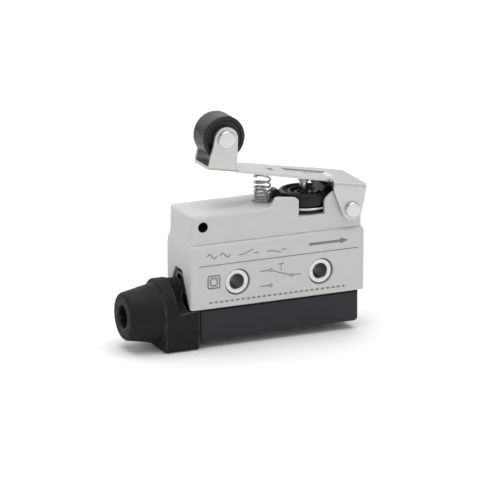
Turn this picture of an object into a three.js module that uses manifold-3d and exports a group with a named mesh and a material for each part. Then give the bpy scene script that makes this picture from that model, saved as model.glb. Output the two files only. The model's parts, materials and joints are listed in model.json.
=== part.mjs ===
// Enclosed limit switch with a one-way roller lever, in millimetres.
// X runs along the case, from the cable boot (-X) to the lever hinge (+X). Y is the depth, with the mounting
// face at Y = 0 and the front of the case at -Y. Z is up, with Z = 0 at the two mounting holes.
import * as THREE from "three";
import { mergeVertices } from "three/addons/utils/BufferGeometryUtils.js";
import Module from "manifold-3d";

const wasm = await Module();
wasm.setup();

// ---------------------------------------------------------------- driving dimensions

const MID_Y = -8.75; // mid-plane of the case
const HOLE_PITCH = 25.4; // between the two mounting holes
const RUN_GAP = 0.3; // clearance left between neighbouring pieces
const GRID = 0.001; // points are kept on this grid, so that faces meant to be level are exactly level

const BAND = { left: -26.9, right: 26.2, front: -17.5, back: 0, bottom: -6.8, top: 11.6 };
const UPPER = { left: -26.2, right: 25.5, front: -16.8, back: -0.7, top: 20.0 };
const CAVITY = { left: -24.9, right: 24.2, front: -15.9, back: -1.6, top: 14.4 };
const CHEEK = { left: -1.5, back: -15.3, top: 22.6, lowTop: 21.9 }; // its top falls towards the notch
const HINGE_BLOCK_LEFT = 19.0;
const EAR_POCKET = { left: 15.1, bottom: 13.4, face: -1.9 };
const INDEX_HOLE = { x: -22.87, z: 16.7, radius: 1.45, depth: 7.5 };

const WELL = { x: 11.2, radius: 7.5, bottom: 16.3 };
const NOTCH = { left: 6.15, right: 14.15, shoulder: 20.6, flareLeft: 4.2, flareRight: 17.6 };
const ARCH = { top: 3.5, topHalf: 2.25, bottomHalf: 7.75, corner: 0.8 };

const SLEEVE = { outer: 3.5, inner: 2.15, front: -16.7, back: -0.8, hole: 3.8 };

const HINGE = { x: 21.94, z: 17.13, pin: 1.5, head: 2.15 };
const LEVER_TILT = THREE.MathUtils.degToRad(10.76);
const SHEET = 0.8; // lever plate thickness
const LEVER = {
  underside: 6.77, // height of the plate over the hinge axis, square to the plate
  front: -9.25, // outer face of the front ear, from the mid-plane
  back: 8.05, // outer face of the rear ear
  hingeEnd: 3.2,
  earRadius: 3.05,
  shoulder: -6.8, // where the ears end and the arm begins
  armHalf: 6.5,
  neckHalf: 5.15,
  yokeStart: -35.1,
  yokeEnd: -43.9,
  yokeTopRadius: 3.45,
  bend: 1.2,
};
const PRESS_STRIP = { left: -18.3, right: -4.2, half: 2.7, drop: 0.4, ramp: 1.6, slot: 0.4 };
const SPRING_TAB = { x: -24.1, half: 1.0, depth: 1.6, window: 2.1 };
const ROLLER = { x: -40.14, z: 15.79, radius: 6.25, half: 3.75, bush: 2.0, pin: 1.25, head: 2.5 };

const RETURN_SPRING = { x: -1.5, coil: 2.25, wire: 0.3, bottom: 19.9, top: 27.3, seat: 19.5 };
const PLUNGER = { radius: 1.15, top: 25.35, bottom: 13.05, collar: 2.2, guide: 2.6 };

const COVER = { left: -24.05, right: 24.8, bottom: -16.2, top: -7.45, wall: 1.4 };
const GASKET = { bottom: -7.4, top: -6.85, width: 1.3 };
const COVER_SCREW = { x: 21.6, head: 2.1, shank: 1.1 };

const BOOT = {
  tip: -43.9,
  collar: -34.2,
  plug: -30.2, // where the part that enters the arch begins
  back: -27.2,
  skirtBack: -24.15,
  half: 8.5,
  archZ: -7.4,
  bottom: -18.4,
  skirtTop: -7.05,
  coneZ: -8.6,
  coneRadius: 8.5,
  tipRadius: 6.6,
  bore: 3.2,
};

const BLOCK = { left: -19.4, right: 19.2, front: -15.6, back: -1.9, bottom: -4.8, joint: 4.6, top: 13.0 };
const TERMINAL = { sheet: 0.8, padHalf: 3.5, legHalf: 2.5, padTop: -7.8 };
const LEG_X = { closed: -17.9, open: 3.6, common: 17.9 }; // centre of each terminal leg
const PAD_SCREW_X = { closed: -14.2, open: -0.6, common: 14.2 };
const CONTACT_X = -9.0;
const BLADE = { left: -10.6, pivot: 17.2, bottom: 8.0, sheet: 0.3, half: 2.0 };

// ---------------------------------------------------------------- solids

// A closed three.js geometry as a manifold solid with its faces pointing out.
function solid(geometry) {
  const bare = geometry.index ? geometry.toNonIndexed() : geometry.clone();
  bare.deleteAttribute("normal");
  bare.deleteAttribute("uv");
  const merged = mergeVertices(bare, 1e-4);
  const vertProperties = merged.attributes.position.array.map((v) => Math.round(v / GRID) * GRID);
  const triangles = [];
  for (let i = 0; i < merged.index.count; i += 3) {
    const [a, b, c] = [0, 1, 2].map((k) => merged.index.getX(i + k));
    if (a !== b && b !== c && c !== a) triangles.push(a, b, c);
  }
  const build = (verts) =>
    new wasm.Manifold(
      new wasm.Mesh({
        numProp: 3,
        vertProperties,
        triVerts: new Uint32Array(verts),
      }),
    );
  const made = build(triangles);
  if (made.volume() > 0) return made;
  for (let i = 0; i < triangles.length; i += 3) {
    [triangles[i + 1], triangles[i + 2]] = [triangles[i + 2], triangles[i + 1]];
  }
  return build(triangles);
}

function geometryOf(manifold) {
  const mesh = manifold.getMesh();
  return new THREE.BufferGeometry()
    .setAttribute("position", new THREE.BufferAttribute(new Float32Array(mesh.vertProperties), 3))
    .setIndex(new THREE.BufferAttribute(new Uint32Array(mesh.triVerts), 1));
}

const AXES = {
  // where a drawing's x, its y and its extrusion point
  xz: [new THREE.Vector3(1, 0, 0), new THREE.Vector3(0, 0, 1), new THREE.Vector3(0, -1, 0)],
  yz: [new THREE.Vector3(0, 1, 0), new THREE.Vector3(0, 0, 1), new THREE.Vector3(1, 0, 0)],
  xy: [new THREE.Vector3(1, 0, 0), new THREE.Vector3(0, 1, 0), new THREE.Vector3(0, 0, 1)],
};

// A drawing in the xz, yz or xy plane, made thick between two places on the third axis.
function prism(shape, plane, from, to, round = 0, steps = 3) {
  const depth = to - from - 2 * round;
  const geometry = new THREE.ExtrudeGeometry(shape, {
    depth,
    bevelEnabled: round > 0,
    bevelSize: round,
    bevelThickness: round,
    bevelSegments: steps,
    curveSegments: 4,
  });
  geometry.applyMatrix4(new THREE.Matrix4().makeBasis(...AXES[plane]));
  const start = plane === "xz" ? to - round : from + round;
  const along = { xz: [0, start, 0], yz: [start, 0, 0], xy: [0, 0, start] }[plane];
  geometry.translate(...along);
  return solid(geometry);
}

function box(x0, x1, y0, y1, z0, z1) {
  const geometry = new THREE.BoxGeometry(x1 - x0, y1 - y0, z1 - z0);
  geometry.translate((x0 + x1) / 2, (y0 + y1) / 2, (z0 + z1) / 2);
  return solid(geometry);
}

function polygon(points) {
  return new THREE.Shape(points.map(([x, y]) => new THREE.Vector2(x, y)));
}

function roundedRectangle(x0, x1, y0, y1, radius) {
  const shape = new THREE.Shape();
  shape.moveTo(x0 + radius, y0);
  shape.lineTo(x1 - radius, y0);
  shape.absarc(x1 - radius, y0 + radius, radius, -Math.PI / 2, 0);
  shape.lineTo(x1, y1 - radius);
  shape.absarc(x1 - radius, y1 - radius, radius, 0, Math.PI / 2);
  shape.lineTo(x0 + radius, y1);
  shape.absarc(x0 + radius, y1 - radius, radius, Math.PI / 2, Math.PI);
  shape.lineTo(x0, y0 + radius);
  shape.absarc(x0 + radius, y0 + radius, radius, Math.PI, 1.5 * Math.PI);
  return shape;
}

// A block whose XZ corners and whose front and back edges are all rounded.
function roundedBlock(x0, x1, y0, y1, z0, z1, edge, corner) {
  const shape = roundedRectangle(x0 + edge, x1 - edge, z0 + edge, z1 - edge, corner);
  return prism(shape, "xz", y0, y1, edge);
}

// A profile of [radius, height] points, turned about a line along the X, Y or Z axis.
function turned(profile, axis, centre, segments = 24) {
  const points = profile.map(([radius, height]) => new THREE.Vector2(radius, height));
  const geometry = new THREE.LatheGeometry(points, segments);
  if (axis === "z") geometry.rotateX(Math.PI / 2);
  if (axis === "x") geometry.rotateZ(-Math.PI / 2);
  geometry.translate(...centre);
  return solid(geometry);
}

function rod(radius, axis, centre, from, to, segments = 24) {
  return turned([[0, from], [radius, from], [radius, to], [0, to]], axis, centre, segments);
}

// A tube with small chamfers on its four rims.
function bushing(outer, inner, axis, centre, from, to, chamfer, segments = 24) {
  return turned(
    [
      [inner + chamfer, from],
      [outer - chamfer, from],
      [outer, from + chamfer],
      [outer, to - chamfer],
      [outer - chamfer, to],
      [inner + chamfer, to],
      [inner, to - chamfer],
      [inner, from + chamfer],
      [inner + chamfer, from],
    ],
    axis,
    centre,
    segments,
  );
}

// Wire wound about a vertical line. heightAt gives the wire's height for a share 0 to 1 of the winding.
function coil(x, radius, wire, turns, heightAt) {
  class Helix extends THREE.Curve {
    getPoint(share, target = new THREE.Vector3()) {
      const angle = share * turns * 2 * Math.PI;
      return target.set(x + radius * Math.cos(angle), MID_Y + radius * Math.sin(angle), heightAt(share));
    }
  }
  const section = new THREE.Shape();
  section.absarc(0, 0, wire, 0, 2 * Math.PI);
  const geometry = new THREE.ExtrudeGeometry(section, {
    steps: Math.round(turns * 14),
    curveSegments: 3,
    extrudePath: new Helix(),
    bevelEnabled: false,
  });
  return solid(geometry);
}

// ---------------------------------------------------------------- scene graph

const FINISH = {
  case: { color: 0xc6c5c3, roughness: 0.5, metalness: 0 },
  rubber: { color: 0x1c1c1f, roughness: 0.75, metalness: 0 },
  coverPlastic: { color: 0x2b2b30, roughness: 0.55, metalness: 0 },
  steel: { color: 0xd2d1cf, roughness: 0.35, metalness: 1 },
  brightSteel: { color: 0xe6e6e4, roughness: 0.2, metalness: 1 },
  rollerPlastic: { color: 0x232327, roughness: 0.5, metalness: 0 },
  brass: { color: 0xc2a35b, roughness: 0.35, metalness: 1 },
  silver: { color: 0xdedbd2, roughness: 0.25, metalness: 1 },
  phenolic: { color: 0x5b2d20, roughness: 0.55, metalness: 0 },
  acetal: { color: 0xe8e4d8, roughness: 0.45, metalness: 0 },
};

const limitSwitch = new THREE.Group();
const leverGroup = new THREE.Group(); // its origin is on the hinge axis, and it carries the lever's tilt
leverGroup.position.set(HINGE.x, MID_Y, HINGE.z);
leverGroup.rotation.y = LEVER_TILT;
limitSwitch.add(leverGroup);

function addPiece(name, manifold, finish, parent = limitSwitch) {
  const mesh = new THREE.Mesh(geometryOf(manifold), new THREE.MeshStandardMaterial(FINISH[finish]));
  mesh.name = name;
  parent.add(mesh);
}

const onMid = (x, z = 0) => [x, MID_Y, z];
const sleeveSides = { left: -HOLE_PITCH / 2, right: HOLE_PITCH / 2 };

// ---------------------------------------------------------------- case

function notchOutline() {
  const shape = new THREE.Shape();
  const over = CHEEK.top + 1;
  shape.moveTo(NOTCH.left, WELL.bottom);
  shape.lineTo(NOTCH.right, WELL.bottom);
  shape.lineTo(NOTCH.right, NOTCH.shoulder);
  shape.quadraticCurveTo(NOTCH.right, NOTCH.shoulder + 1.0, NOTCH.flareRight - 1.9, CHEEK.lowTop);
  shape.lineTo(NOTCH.flareRight, over);
  shape.lineTo(CHEEK.left + 1.5, over);
  shape.lineTo(CHEEK.left + 1.5, CHEEK.top - 0.1);
  shape.lineTo(NOTCH.flareLeft, CHEEK.lowTop);
  shape.quadraticCurveTo(NOTCH.left, CHEEK.lowTop, NOTCH.left, NOTCH.shoulder);
  return shape;
}

function archOutline() {
  const below = BAND.bottom - 1;
  const shape = new THREE.Shape();
  shape.moveTo(MID_Y - ARCH.bottomHalf, below);
  shape.lineTo(MID_Y + ARCH.bottomHalf, below);
  shape.lineTo(MID_Y + ARCH.bottomHalf, BAND.bottom);
  shape.lineTo(MID_Y + ARCH.topHalf + ARCH.corner / 2, ARCH.top - ARCH.corner);
  shape.quadraticCurveTo(MID_Y + ARCH.topHalf, ARCH.top, MID_Y + ARCH.topHalf - ARCH.corner, ARCH.top);
  shape.lineTo(MID_Y - ARCH.topHalf + ARCH.corner, ARCH.top);
  shape.quadraticCurveTo(
    MID_Y - ARCH.topHalf,
    ARCH.top,
    MID_Y - ARCH.topHalf - ARCH.corner / 2,
    ARCH.top - ARCH.corner,
  );
  shape.lineTo(MID_Y - ARCH.bottomHalf, BAND.bottom);
  return shape;
}

function makeHousing() {
  const inside = 5; // how far the upper pieces reach down into the band
  const screwPost = onMid(COVER_SCREW.x);
  let housing = roundedBlock(
    BAND.left, BAND.right, BAND.front, BAND.back, BAND.bottom, BAND.top, 0.5, 0.4,
  );
  housing = housing.add(
    roundedBlock(
      UPPER.left, UPPER.right, UPPER.front, UPPER.back, BAND.top - inside, UPPER.top, 1.0, 0.3,
    ),
  );
  housing = housing.add(
    roundedBlock(
      CHEEK.left, UPPER.right, UPPER.front, CHEEK.back, UPPER.top - inside, CHEEK.top, 0.3, 0.8,
    ),
  );
  housing = housing.add(
    roundedBlock(
      HINGE_BLOCK_LEFT, UPPER.right, UPPER.front, UPPER.back, UPPER.top - inside, CHEEK.top, 0.3, 0.8,
    ),
  );
  const below = BAND.bottom - 1;
  housing = housing.subtract(
    box(CAVITY.left, CAVITY.right, CAVITY.front, CAVITY.back, below, CAVITY.top),
  );
  housing = housing.subtract(box(-19, -5.5, CAVITY.front + 1, CAVITY.back - 1, below, CAVITY.top + 3.2));
  housing = housing.add(rod(2.2, "z", screwPost, BAND.bottom, CAVITY.top + 0.5));
  housing = housing.subtract(rod(COVER_SCREW.shank + 0.2, "z", screwPost, below, -1));

  housing = housing.subtract(rod(WELL.radius, "z", onMid(WELL.x), WELL.bottom, CHEEK.top + 1, 48));
  housing = housing.subtract(rod(PLUNGER.guide + 0.15, "z", onMid(WELL.x), CAVITY.top - 1, WELL.bottom + 1));
  housing = housing.subtract(prism(notchOutline(), "xz", UPPER.front - 1, MID_Y - 3));
  housing = housing.subtract(
    box(
      EAR_POCKET.left, BAND.right + 1, EAR_POCKET.face, BAND.back + 1, EAR_POCKET.bottom, CHEEK.top + 1,
    ),
  );
  housing = housing.subtract(
    rod(HINGE.pin + 0.1, "y", [HINGE.x, 0, HINGE.z], BAND.front - 1, BAND.back + 1),
  );
  housing = housing.subtract(prism(archOutline(), "yz", BAND.left - 1, CAVITY.left + 1));
  housing = housing.subtract(
    rod(
      INDEX_HOLE.radius, "y", [INDEX_HOLE.x, 0, INDEX_HOLE.z], UPPER.front - 1,
      UPPER.front + INDEX_HOLE.depth,
    ),
  );
  housing = housing.subtract(
    rod(
      RETURN_SPRING.coil + RETURN_SPRING.wire + RUN_GAP, "z", onMid(RETURN_SPRING.x),
      RETURN_SPRING.seat, UPPER.top + 1,
    ),
  );
  for (const x of Object.values(sleeveSides)) {
    housing = housing.subtract(rod(SLEEVE.hole, "y", [x, 0, 0], BAND.front - 1, BAND.back + 1, 40));
  }
  return housing;
}

addPiece("housing", makeHousing(), "case");
for (const [side, x] of Object.entries(sleeveSides)) {
  const sleeve = bushing(SLEEVE.outer, SLEEVE.inner, "y", [x, 0, 0], SLEEVE.front, SLEEVE.back, 0.25, 28);
  addPiece("mounting_sleeve_" + side, sleeve, "brightSteel");
}

// ---------------------------------------------------------------- terminal cover

function makeTerminalCover() {
  const spigotLeft = -27.0;
  const over = 0;
  const boss = onMid(COVER_SCREW.x);
  let cover = roundedBlock(
    COVER.left, COVER.right, UPPER.front, UPPER.back, COVER.bottom, COVER.top + 5, 0.6, 0.7,
  );
  cover = cover.subtract(
    box(
      COVER.left + COVER.wall, COVER.right - COVER.wall, UPPER.front + COVER.wall,
      UPPER.back - COVER.wall, COVER.bottom + COVER.wall, over,
    ),
  );
  cover = cover.add(box(spigotLeft, COVER.left + 0.5, BLOCK.front, BLOCK.back, -15.4, COVER.top));
  cover = cover.subtract(
    box(spigotLeft - 1, COVER.left + COVER.wall + 1, BLOCK.front + 1.4, BLOCK.back - 1.4, -14, over),
  );
  cover = cover.add(rod(3.1, "z", boss, COVER.bottom + 0.5, COVER.top - 0.15));
  cover = cover.subtract(rod(COVER_SCREW.head + 0.3, "z", boss, COVER.bottom - 1, -14));
  cover = cover.subtract(rod(COVER_SCREW.shank + 0.25, "z", boss, COVER.bottom, over));
  return cover.subtract(box(-30, 30, -20, 2, COVER.top, over));
}

function makeGasket() {
  const left = COVER.left + 0.25;
  const right = COVER.right - RUN_GAP;
  const frame = box(left, right, UPPER.front + RUN_GAP, UPPER.back - RUN_GAP, GASKET.bottom, GASKET.top);
  return frame.subtract(
    box(
      left - 1, right - GASKET.width, UPPER.front + RUN_GAP + GASKET.width,
      UPPER.back - RUN_GAP - GASKET.width, GASKET.bottom - 1, GASKET.top + 1,
    ),
  );
}

// A screw that points up: its head is at the bottom, with a cross cut in it.
function makeScrew(x, headRadius, shankRadius, headBottom, headTop, end, slotWidth) {
  const profile = [
    [0, headBottom],
    [headRadius - 0.3, headBottom],
    [headRadius, headBottom + 0.3],
    [headRadius, headTop],
    [shankRadius, headTop],
    [shankRadius, end - 0.4],
    [shankRadius - 0.4, end],
    [0, end],
  ];
  const reach = headRadius * 0.65;
  const half = slotWidth / 2;
  const cutTop = headBottom + (headTop - headBottom) * 0.5;
  return turned(profile, "z", onMid(x))
    .subtract(box(x - reach, x + reach, MID_Y - half, MID_Y + half, headBottom - 1, cutTop))
    .subtract(box(x - half, x + half, MID_Y - reach, MID_Y + reach, headBottom - 1, cutTop));
}

addPiece("terminal_cover", makeTerminalCover(), "coverPlastic");
addPiece("cover_gasket", makeGasket(), "rubber");
addPiece(
  "cover_screw",
  makeScrew(COVER_SCREW.x, COVER_SCREW.head, COVER_SCREW.shank, -15.9, -14.2, -1.6, 0.6),
  "brightSteel",
);

// ---------------------------------------------------------------- cable boot

// The boot's section: a box with rounded lower corners under a top given as [half-width, height] points.
function bootSection(half, bottom, corner, top) {
  const [left, right] = [MID_Y - half, MID_Y + half];
  const shape = new THREE.Shape();
  shape.moveTo(left + corner, bottom);
  shape.lineTo(right - corner, bottom);
  shape.absarc(right - corner, bottom + corner, corner, -Math.PI / 2, 0);
  for (const [offset, height] of top) shape.lineTo(MID_Y + offset, height);
  for (const [offset, height] of [...top].reverse()) shape.lineTo(MID_Y - offset, height);
  shape.lineTo(left, bottom + corner);
  shape.absarc(left + corner, bottom + corner, corner, Math.PI, 1.5 * Math.PI);
  return shape;
}

function halfRound(half) {
  const angles = [0, 15, 30, 45, 60, 75, 88].map(THREE.MathUtils.degToRad);
  return angles.map((angle) => [half * Math.cos(angle), BOOT.archZ + half * Math.sin(angle)]);
}

function makeBoot() {
  const axis = [0, MID_Y, BOOT.coneZ];
  const tipRound = 1.0;
  const hollow = { half: 6.6, plugHalf: 3.4, bottom: -16.2, front: -33.0, throat: 5.4, throatEnd: -36.2 };
  const plugTop = [
    [BOOT.half, BOOT.archZ],
    [7.6, -6.9],
    [5.6, -6.3],
    [4.3, -5.6],
    [3.4, -4.5],
    [2.9, -2],
    [2.4, -0.4],
    [1.2, 0.6],
  ];
  const collarHalf = BOOT.half - 0.4;
  let boot = prism(
    bootSection(collarHalf, BOOT.bottom + 0.4, 0.9, halfRound(collarHalf)), "yz", BOOT.collar, BOOT.plug, 0.4,
  );
  boot = boot.add(prism(bootSection(BOOT.half, BOOT.bottom, 1.3, plugTop), "yz", BOOT.plug - 1, BOOT.back));
  const skirtTop = [[BOOT.half, BOOT.skirtTop]];
  boot = boot.add(
    prism(bootSection(BOOT.half, BOOT.bottom, 1.3, skirtTop), "yz", BOOT.back - 1, BOOT.skirtBack),
  );
  boot = boot.add(
    turned(
      [
        [0, BOOT.collar + 1],
        [BOOT.coneRadius, BOOT.collar + 1],
        [BOOT.coneRadius, BOOT.collar - 0.4],
        [BOOT.tipRadius, BOOT.tip + tipRound],
        [BOOT.tipRadius - 0.35, BOOT.tip + 0.35],
        [BOOT.tipRadius - tipRound, BOOT.tip],
        [0, BOOT.tip],
      ],
      "x",
      axis,
      44,
    ),
  );
  boot = boot.subtract(rod(BOOT.bore, "x", axis, BOOT.tip - 1, hollow.throatEnd + 1, 32));
  boot = boot.subtract(rod(hollow.throat, "x", axis, hollow.throatEnd, hollow.front + 1, 32));
  boot = boot.subtract(
    prism(
      bootSection(hollow.half, hollow.bottom, 0.8, halfRound(hollow.half)),
      "yz",
      hollow.front,
      BOOT.plug - 1.2,
    ),
  );
  const plugHollow = bootSection(hollow.plugHalf, hollow.bottom, 0.8, halfRound(hollow.plugHalf));
  boot = boot.subtract(prism(plugHollow, "yz", BOOT.plug - 2, BOOT.back + 0.5));
  boot = boot.subtract(
    box(BOOT.back, BOOT.skirtBack + 1, BLOCK.front - RUN_GAP, BLOCK.back + RUN_GAP, -15.7, 2),
  );
  return boot;
}

function makeCordClamp() {
  const [foot, crown] = [-5.5, 2.4];
  const outer = { foot: 6.15, crown: 1.65 };
  const sheet = 0.7;
  const slant = 0.8; // the sloping legs need a little more width than the crown for an even sheet
  return prism(
    polygon([
      [MID_Y - outer.foot, foot],
      [MID_Y - outer.foot + slant, foot],
      [MID_Y - outer.crown + 0.35, crown - sheet],
      [MID_Y + outer.crown - 0.35, crown - sheet],
      [MID_Y + outer.foot - slant, foot],
      [MID_Y + outer.foot, foot],
      [MID_Y + outer.crown, crown],
      [MID_Y - outer.crown, crown],
    ]),
    "yz",
    -26.6,
    -25.2,
  );
}

addPiece("cable_boot", makeBoot(), "rubber");
addPiece(
  "cable_grommet",
  bushing(5.1, BOOT.bore + 0.1, "x", [0, MID_Y, BOOT.coneZ], -35.9, -33.3, 0.3),
  "rubber",
);
addPiece("cord_clamp", makeCordClamp(), "steel");

// ---------------------------------------------------------------- lever

// A channel section in the yz plane: a floor with two walls, open towards the walls' free ends.
function channelOutline(left, right, floor, wallEnd, bend) {
  const up = Math.sign(wallEnd - floor); // +1 for walls that rise from the floor, -1 for walls that hang
  const outline = (inset, radius) => [
    [left + inset, wallEnd],
    [left + inset, floor + up * (inset + radius)],
    [left + inset + radius * 0.3, floor + up * (inset + radius * 0.3)],
    [left + inset + radius, floor + up * inset],
    [right - inset - radius, floor + up * inset],
    [right - inset - radius * 0.3, floor + up * (inset + radius * 0.3)],
    [right - inset, floor + up * (inset + radius)],
    [right - inset, wallEnd],
  ];
  return polygon([...outline(0, bend), ...outline(SHEET, bend - SHEET + 0.1).reverse()]);
}

// The side view of the two hinge ears: a tab that ends in an arc about the pin.
function earOutline() {
  const shape = new THREE.Shape();
  const plateTop = LEVER.underside + SHEET;
  shape.moveTo(LEVER.hingeEnd, plateTop);
  shape.lineTo(LEVER.shoulder, plateTop);
  shape.lineTo(LEVER.shoulder + 0.15, plateTop - 2.6);
  const start = Math.PI + 0.33;
  shape.lineTo(LEVER.earRadius * Math.cos(Math.PI - 0.33) - 1.3, 1.6);
  shape.absarc(0, 0, LEVER.earRadius, start - 0.35, 2 * Math.PI);
  shape.lineTo(LEVER.hingeEnd, 0.5);
  return shape;
}

// The side view of the roller yoke: upright ears with a round top about the roller pin.
function yokeOutline() {
  const shape = new THREE.Shape();
  shape.moveTo(LEVER.yokeStart, LEVER.underside);
  shape.lineTo(ROLLER.x + LEVER.yokeTopRadius, ROLLER.z - 0.5);
  shape.absarc(ROLLER.x, ROLLER.z, LEVER.yokeTopRadius, 0, Math.PI);
  shape.lineTo(LEVER.yokeEnd, LEVER.underside);
  return shape;
}

function makeLever() {
  const plateTop = LEVER.underside + SHEET;
  const strip = PRESS_STRIP;
  const bridgeEdge = (height) => [
    [strip.left - 0.1, height],
    [strip.left + strip.ramp, height - strip.drop],
    [strip.right - strip.ramp, height - strip.drop],
    [strip.right + 0.1, height],
  ];

  const hingeChannel = prism(
    channelOutline(LEVER.front, LEVER.back, plateTop, -LEVER.earRadius - 0.5, LEVER.bend),
    "yz",
    LEVER.shoulder - 0.2,
    LEVER.hingeEnd,
  );
  let lever = hingeChannel.intersect(prism(earOutline(), "xz", LEVER.front - 1, LEVER.back + 1));

  const yokeTop = ROLLER.z + LEVER.yokeTopRadius + 0.5;
  const yokeChannel = prism(
    channelOutline(-LEVER.neckHalf, LEVER.neckHalf, LEVER.underside, yokeTop, LEVER.bend),
    "yz",
    LEVER.yokeEnd,
    LEVER.yokeStart,
  );
  lever = lever.add(yokeChannel.intersect(prism(yokeOutline(), "xz", -LEVER.armHalf, LEVER.armHalf)));

  const arm = polygon([
    [LEVER.shoulder + 0.3, -LEVER.armHalf],
    [LEVER.shoulder + 0.3, LEVER.armHalf],
    [LEVER.yokeStart, LEVER.neckHalf],
    [LEVER.yokeStart - 0.5, LEVER.neckHalf - LEVER.bend],
    [LEVER.yokeStart - 0.5, LEVER.bend - LEVER.neckHalf],
    [LEVER.yokeStart, -LEVER.neckHalf],
  ]);
  lever = lever.add(prism(arm, "xy", LEVER.underside, plateTop));

  const windowHalf = strip.half + strip.slot;
  lever = lever.subtract(
    box(strip.left, strip.right, -windowHalf, windowHalf, LEVER.underside - 1, plateTop + 1),
  );
  lever = lever.add(
    prism(
      polygon([...bridgeEdge(LEVER.underside), ...bridgeEdge(plateTop).reverse()]),
      "xz",
      -strip.half,
      strip.half,
    ),
  );

  const tab = SPRING_TAB;
  lever = lever.subtract(
    box(tab.x, tab.x + tab.window, -tab.half - 0.2, tab.half + 0.2, LEVER.underside - 1, plateTop + 1),
  );
  lever = lever.add(
    box(tab.x - SHEET, tab.x, -tab.half, tab.half, LEVER.underside - tab.depth, plateTop - 0.2),
  );

  lever = lever.subtract(
    rod(HINGE.pin + 0.12, "y", [0, 0, 0], LEVER.front - 1, LEVER.back + 1),
  );
  return lever.subtract(
    rod(ROLLER.pin + 0.12, "y", [ROLLER.x, 0, ROLLER.z], -LEVER.armHalf, LEVER.armHalf),
  );
}

// A pin along Y with a chamfered head at the front and a smaller riveted end at the back.
function headedPin(centre, shank, head, frontFace, backFace, headDepth, tailDepth) {
  const chamfer = 0.2;
  return turned(
    [
      [0, frontFace - headDepth],
      [head - chamfer, frontFace - headDepth],
      [head, frontFace - headDepth + chamfer],
      [head, frontFace],
      [shank, frontFace],
      [shank, backFace],
      [head - 0.15, backFace],
      [head - 0.45, backFace + tailDepth],
      [0, backFace + tailDepth],
    ],
    "y",
    centre,
    32,
  );
}

function makeRoller() {
  const { radius, half, bush } = ROLLER;
  const face = half - 0.35; // the recessed web inside the rims
  const halfProfile = [
    [bush + 0.1, face],
    [bush + 1.2, half],
    [radius - 1.0, half],
    [radius - 0.35, half - 0.15],
    [radius, half - 0.6],
  ];
  const mirrored = halfProfile.map(([r, y]) => [r, -y]).reverse();
  const profile = [...halfProfile, ...mirrored, halfProfile[0]];
  return turned(profile, "y", [ROLLER.x, 0, ROLLER.z], 48);
}

addPiece("lever", makeLever(), "steel", leverGroup);
addPiece("roller", makeRoller(), "rollerPlastic", leverGroup);
addPiece(
  "roller_bush",
  bushing(ROLLER.bush, ROLLER.pin + 0.12, "y", [ROLLER.x, 0, ROLLER.z], -4.1, 4.1, 0.15),
  "brass",
  leverGroup,
);
addPiece(
  "roller_pin",
  headedPin([ROLLER.x, 0, ROLLER.z], ROLLER.pin, ROLLER.head, -5.2, 5.2, 0.8, 0.6),
  "brightSteel",
  leverGroup,
);
addPiece(
  "hinge_pin",
  headedPin([HINGE.x, 0, HINGE.z], HINGE.pin, HINGE.head, -18.05, -0.65, 0.95, 0.55),
  "brightSteel",
);

// ---------------------------------------------------------------- plunger and seal

function makeSeal() {
  // Ring-shaped folds from the rim down to the wiper lip at the plunger.
  const folds = [
    [7.2, 21.0],
    [7.05, 21.6],
    [6.6, 21.95],
    [6.0, 21.8],
    [5.5, 21.25],
    [5.0, 21.2],
    [4.5, 21.65],
    [3.95, 21.5],
    [3.4, 20.85],
    [2.9, 20.8],
    [2.45, 21.15],
    [2.0, 21.1],
    [1.45, 20.6],
  ];
  const skirt = [
    [1.45, 19.3],
    [5.8, 19.3],
    [5.8, 16.8],
    [6.6, 16.8],
    [6.6, 18.6],
    [7.2, 18.7],
  ];
  const disc = turned([...folds, ...skirt, folds[0]], "z", onMid(WELL.x), 44);
  const lug = new THREE.Shape();
  lug.moveTo(1.3, 20.2);
  lug.lineTo(5.4, 20.2);
  lug.lineTo(5.4, 21.2);
  lug.quadraticCurveTo(3.4, 22.0, 3.0, 22.7);
  lug.quadraticCurveTo(2.2, 23.9, 1.35, 22.7);
  const stop = polygon([[15.2, 20.2], [18.5, 20.2], [18.5, 23.3], [16.4, 23.3], [15.2, 21.4]]);
  return disc
    .add(prism(lug, "xz", MID_Y - 1.7, MID_Y + 1.7))
    .add(prism(stop, "xz", MID_Y - 3.5, MID_Y + 3.5));
}

function makePlunger() {
  const { radius, top, bottom, collar } = PLUNGER;
  return turned(
    [
      [0, bottom],
      [collar - 0.2, bottom],
      [collar, bottom + 0.2],
      [collar, bottom + 0.55],
      [radius, bottom + 0.55],
      [radius, top - 1.1],
      [radius + 0.45, top - 0.95],
      [radius + 0.45, top - 0.6],
      [radius, top - 0.5],
      [radius * 0.7, top - 0.15],
      [0, top],
    ],
    "z",
    onMid(WELL.x),
  );
}

function makeGuide() {
  const inner = PLUNGER.radius + 0.15;
  return turned(
    [
      [inner, 13.9],
      [PLUNGER.guide, 13.9],
      [PLUNGER.guide, WELL.bottom + 0.05],
      [3.4, WELL.bottom + 0.05],
      [3.4, WELL.bottom + 0.65],
      [inner + 0.3, WELL.bottom + 0.65],
      [inner, WELL.bottom + 0.35],
      [inner, 13.9],
    ],
    "z",
    onMid(WELL.x),
  );
}

// Close coils at the foot and open ones above: the height rises slowly, then faster.
function returnSpringHeight(share) {
  const rise = RETURN_SPRING.top - RETURN_SPRING.bottom;
  const eased = 0.62 * share + 0.38 * share ** 3;
  return RETURN_SPRING.bottom + rise * eased;
}

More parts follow.
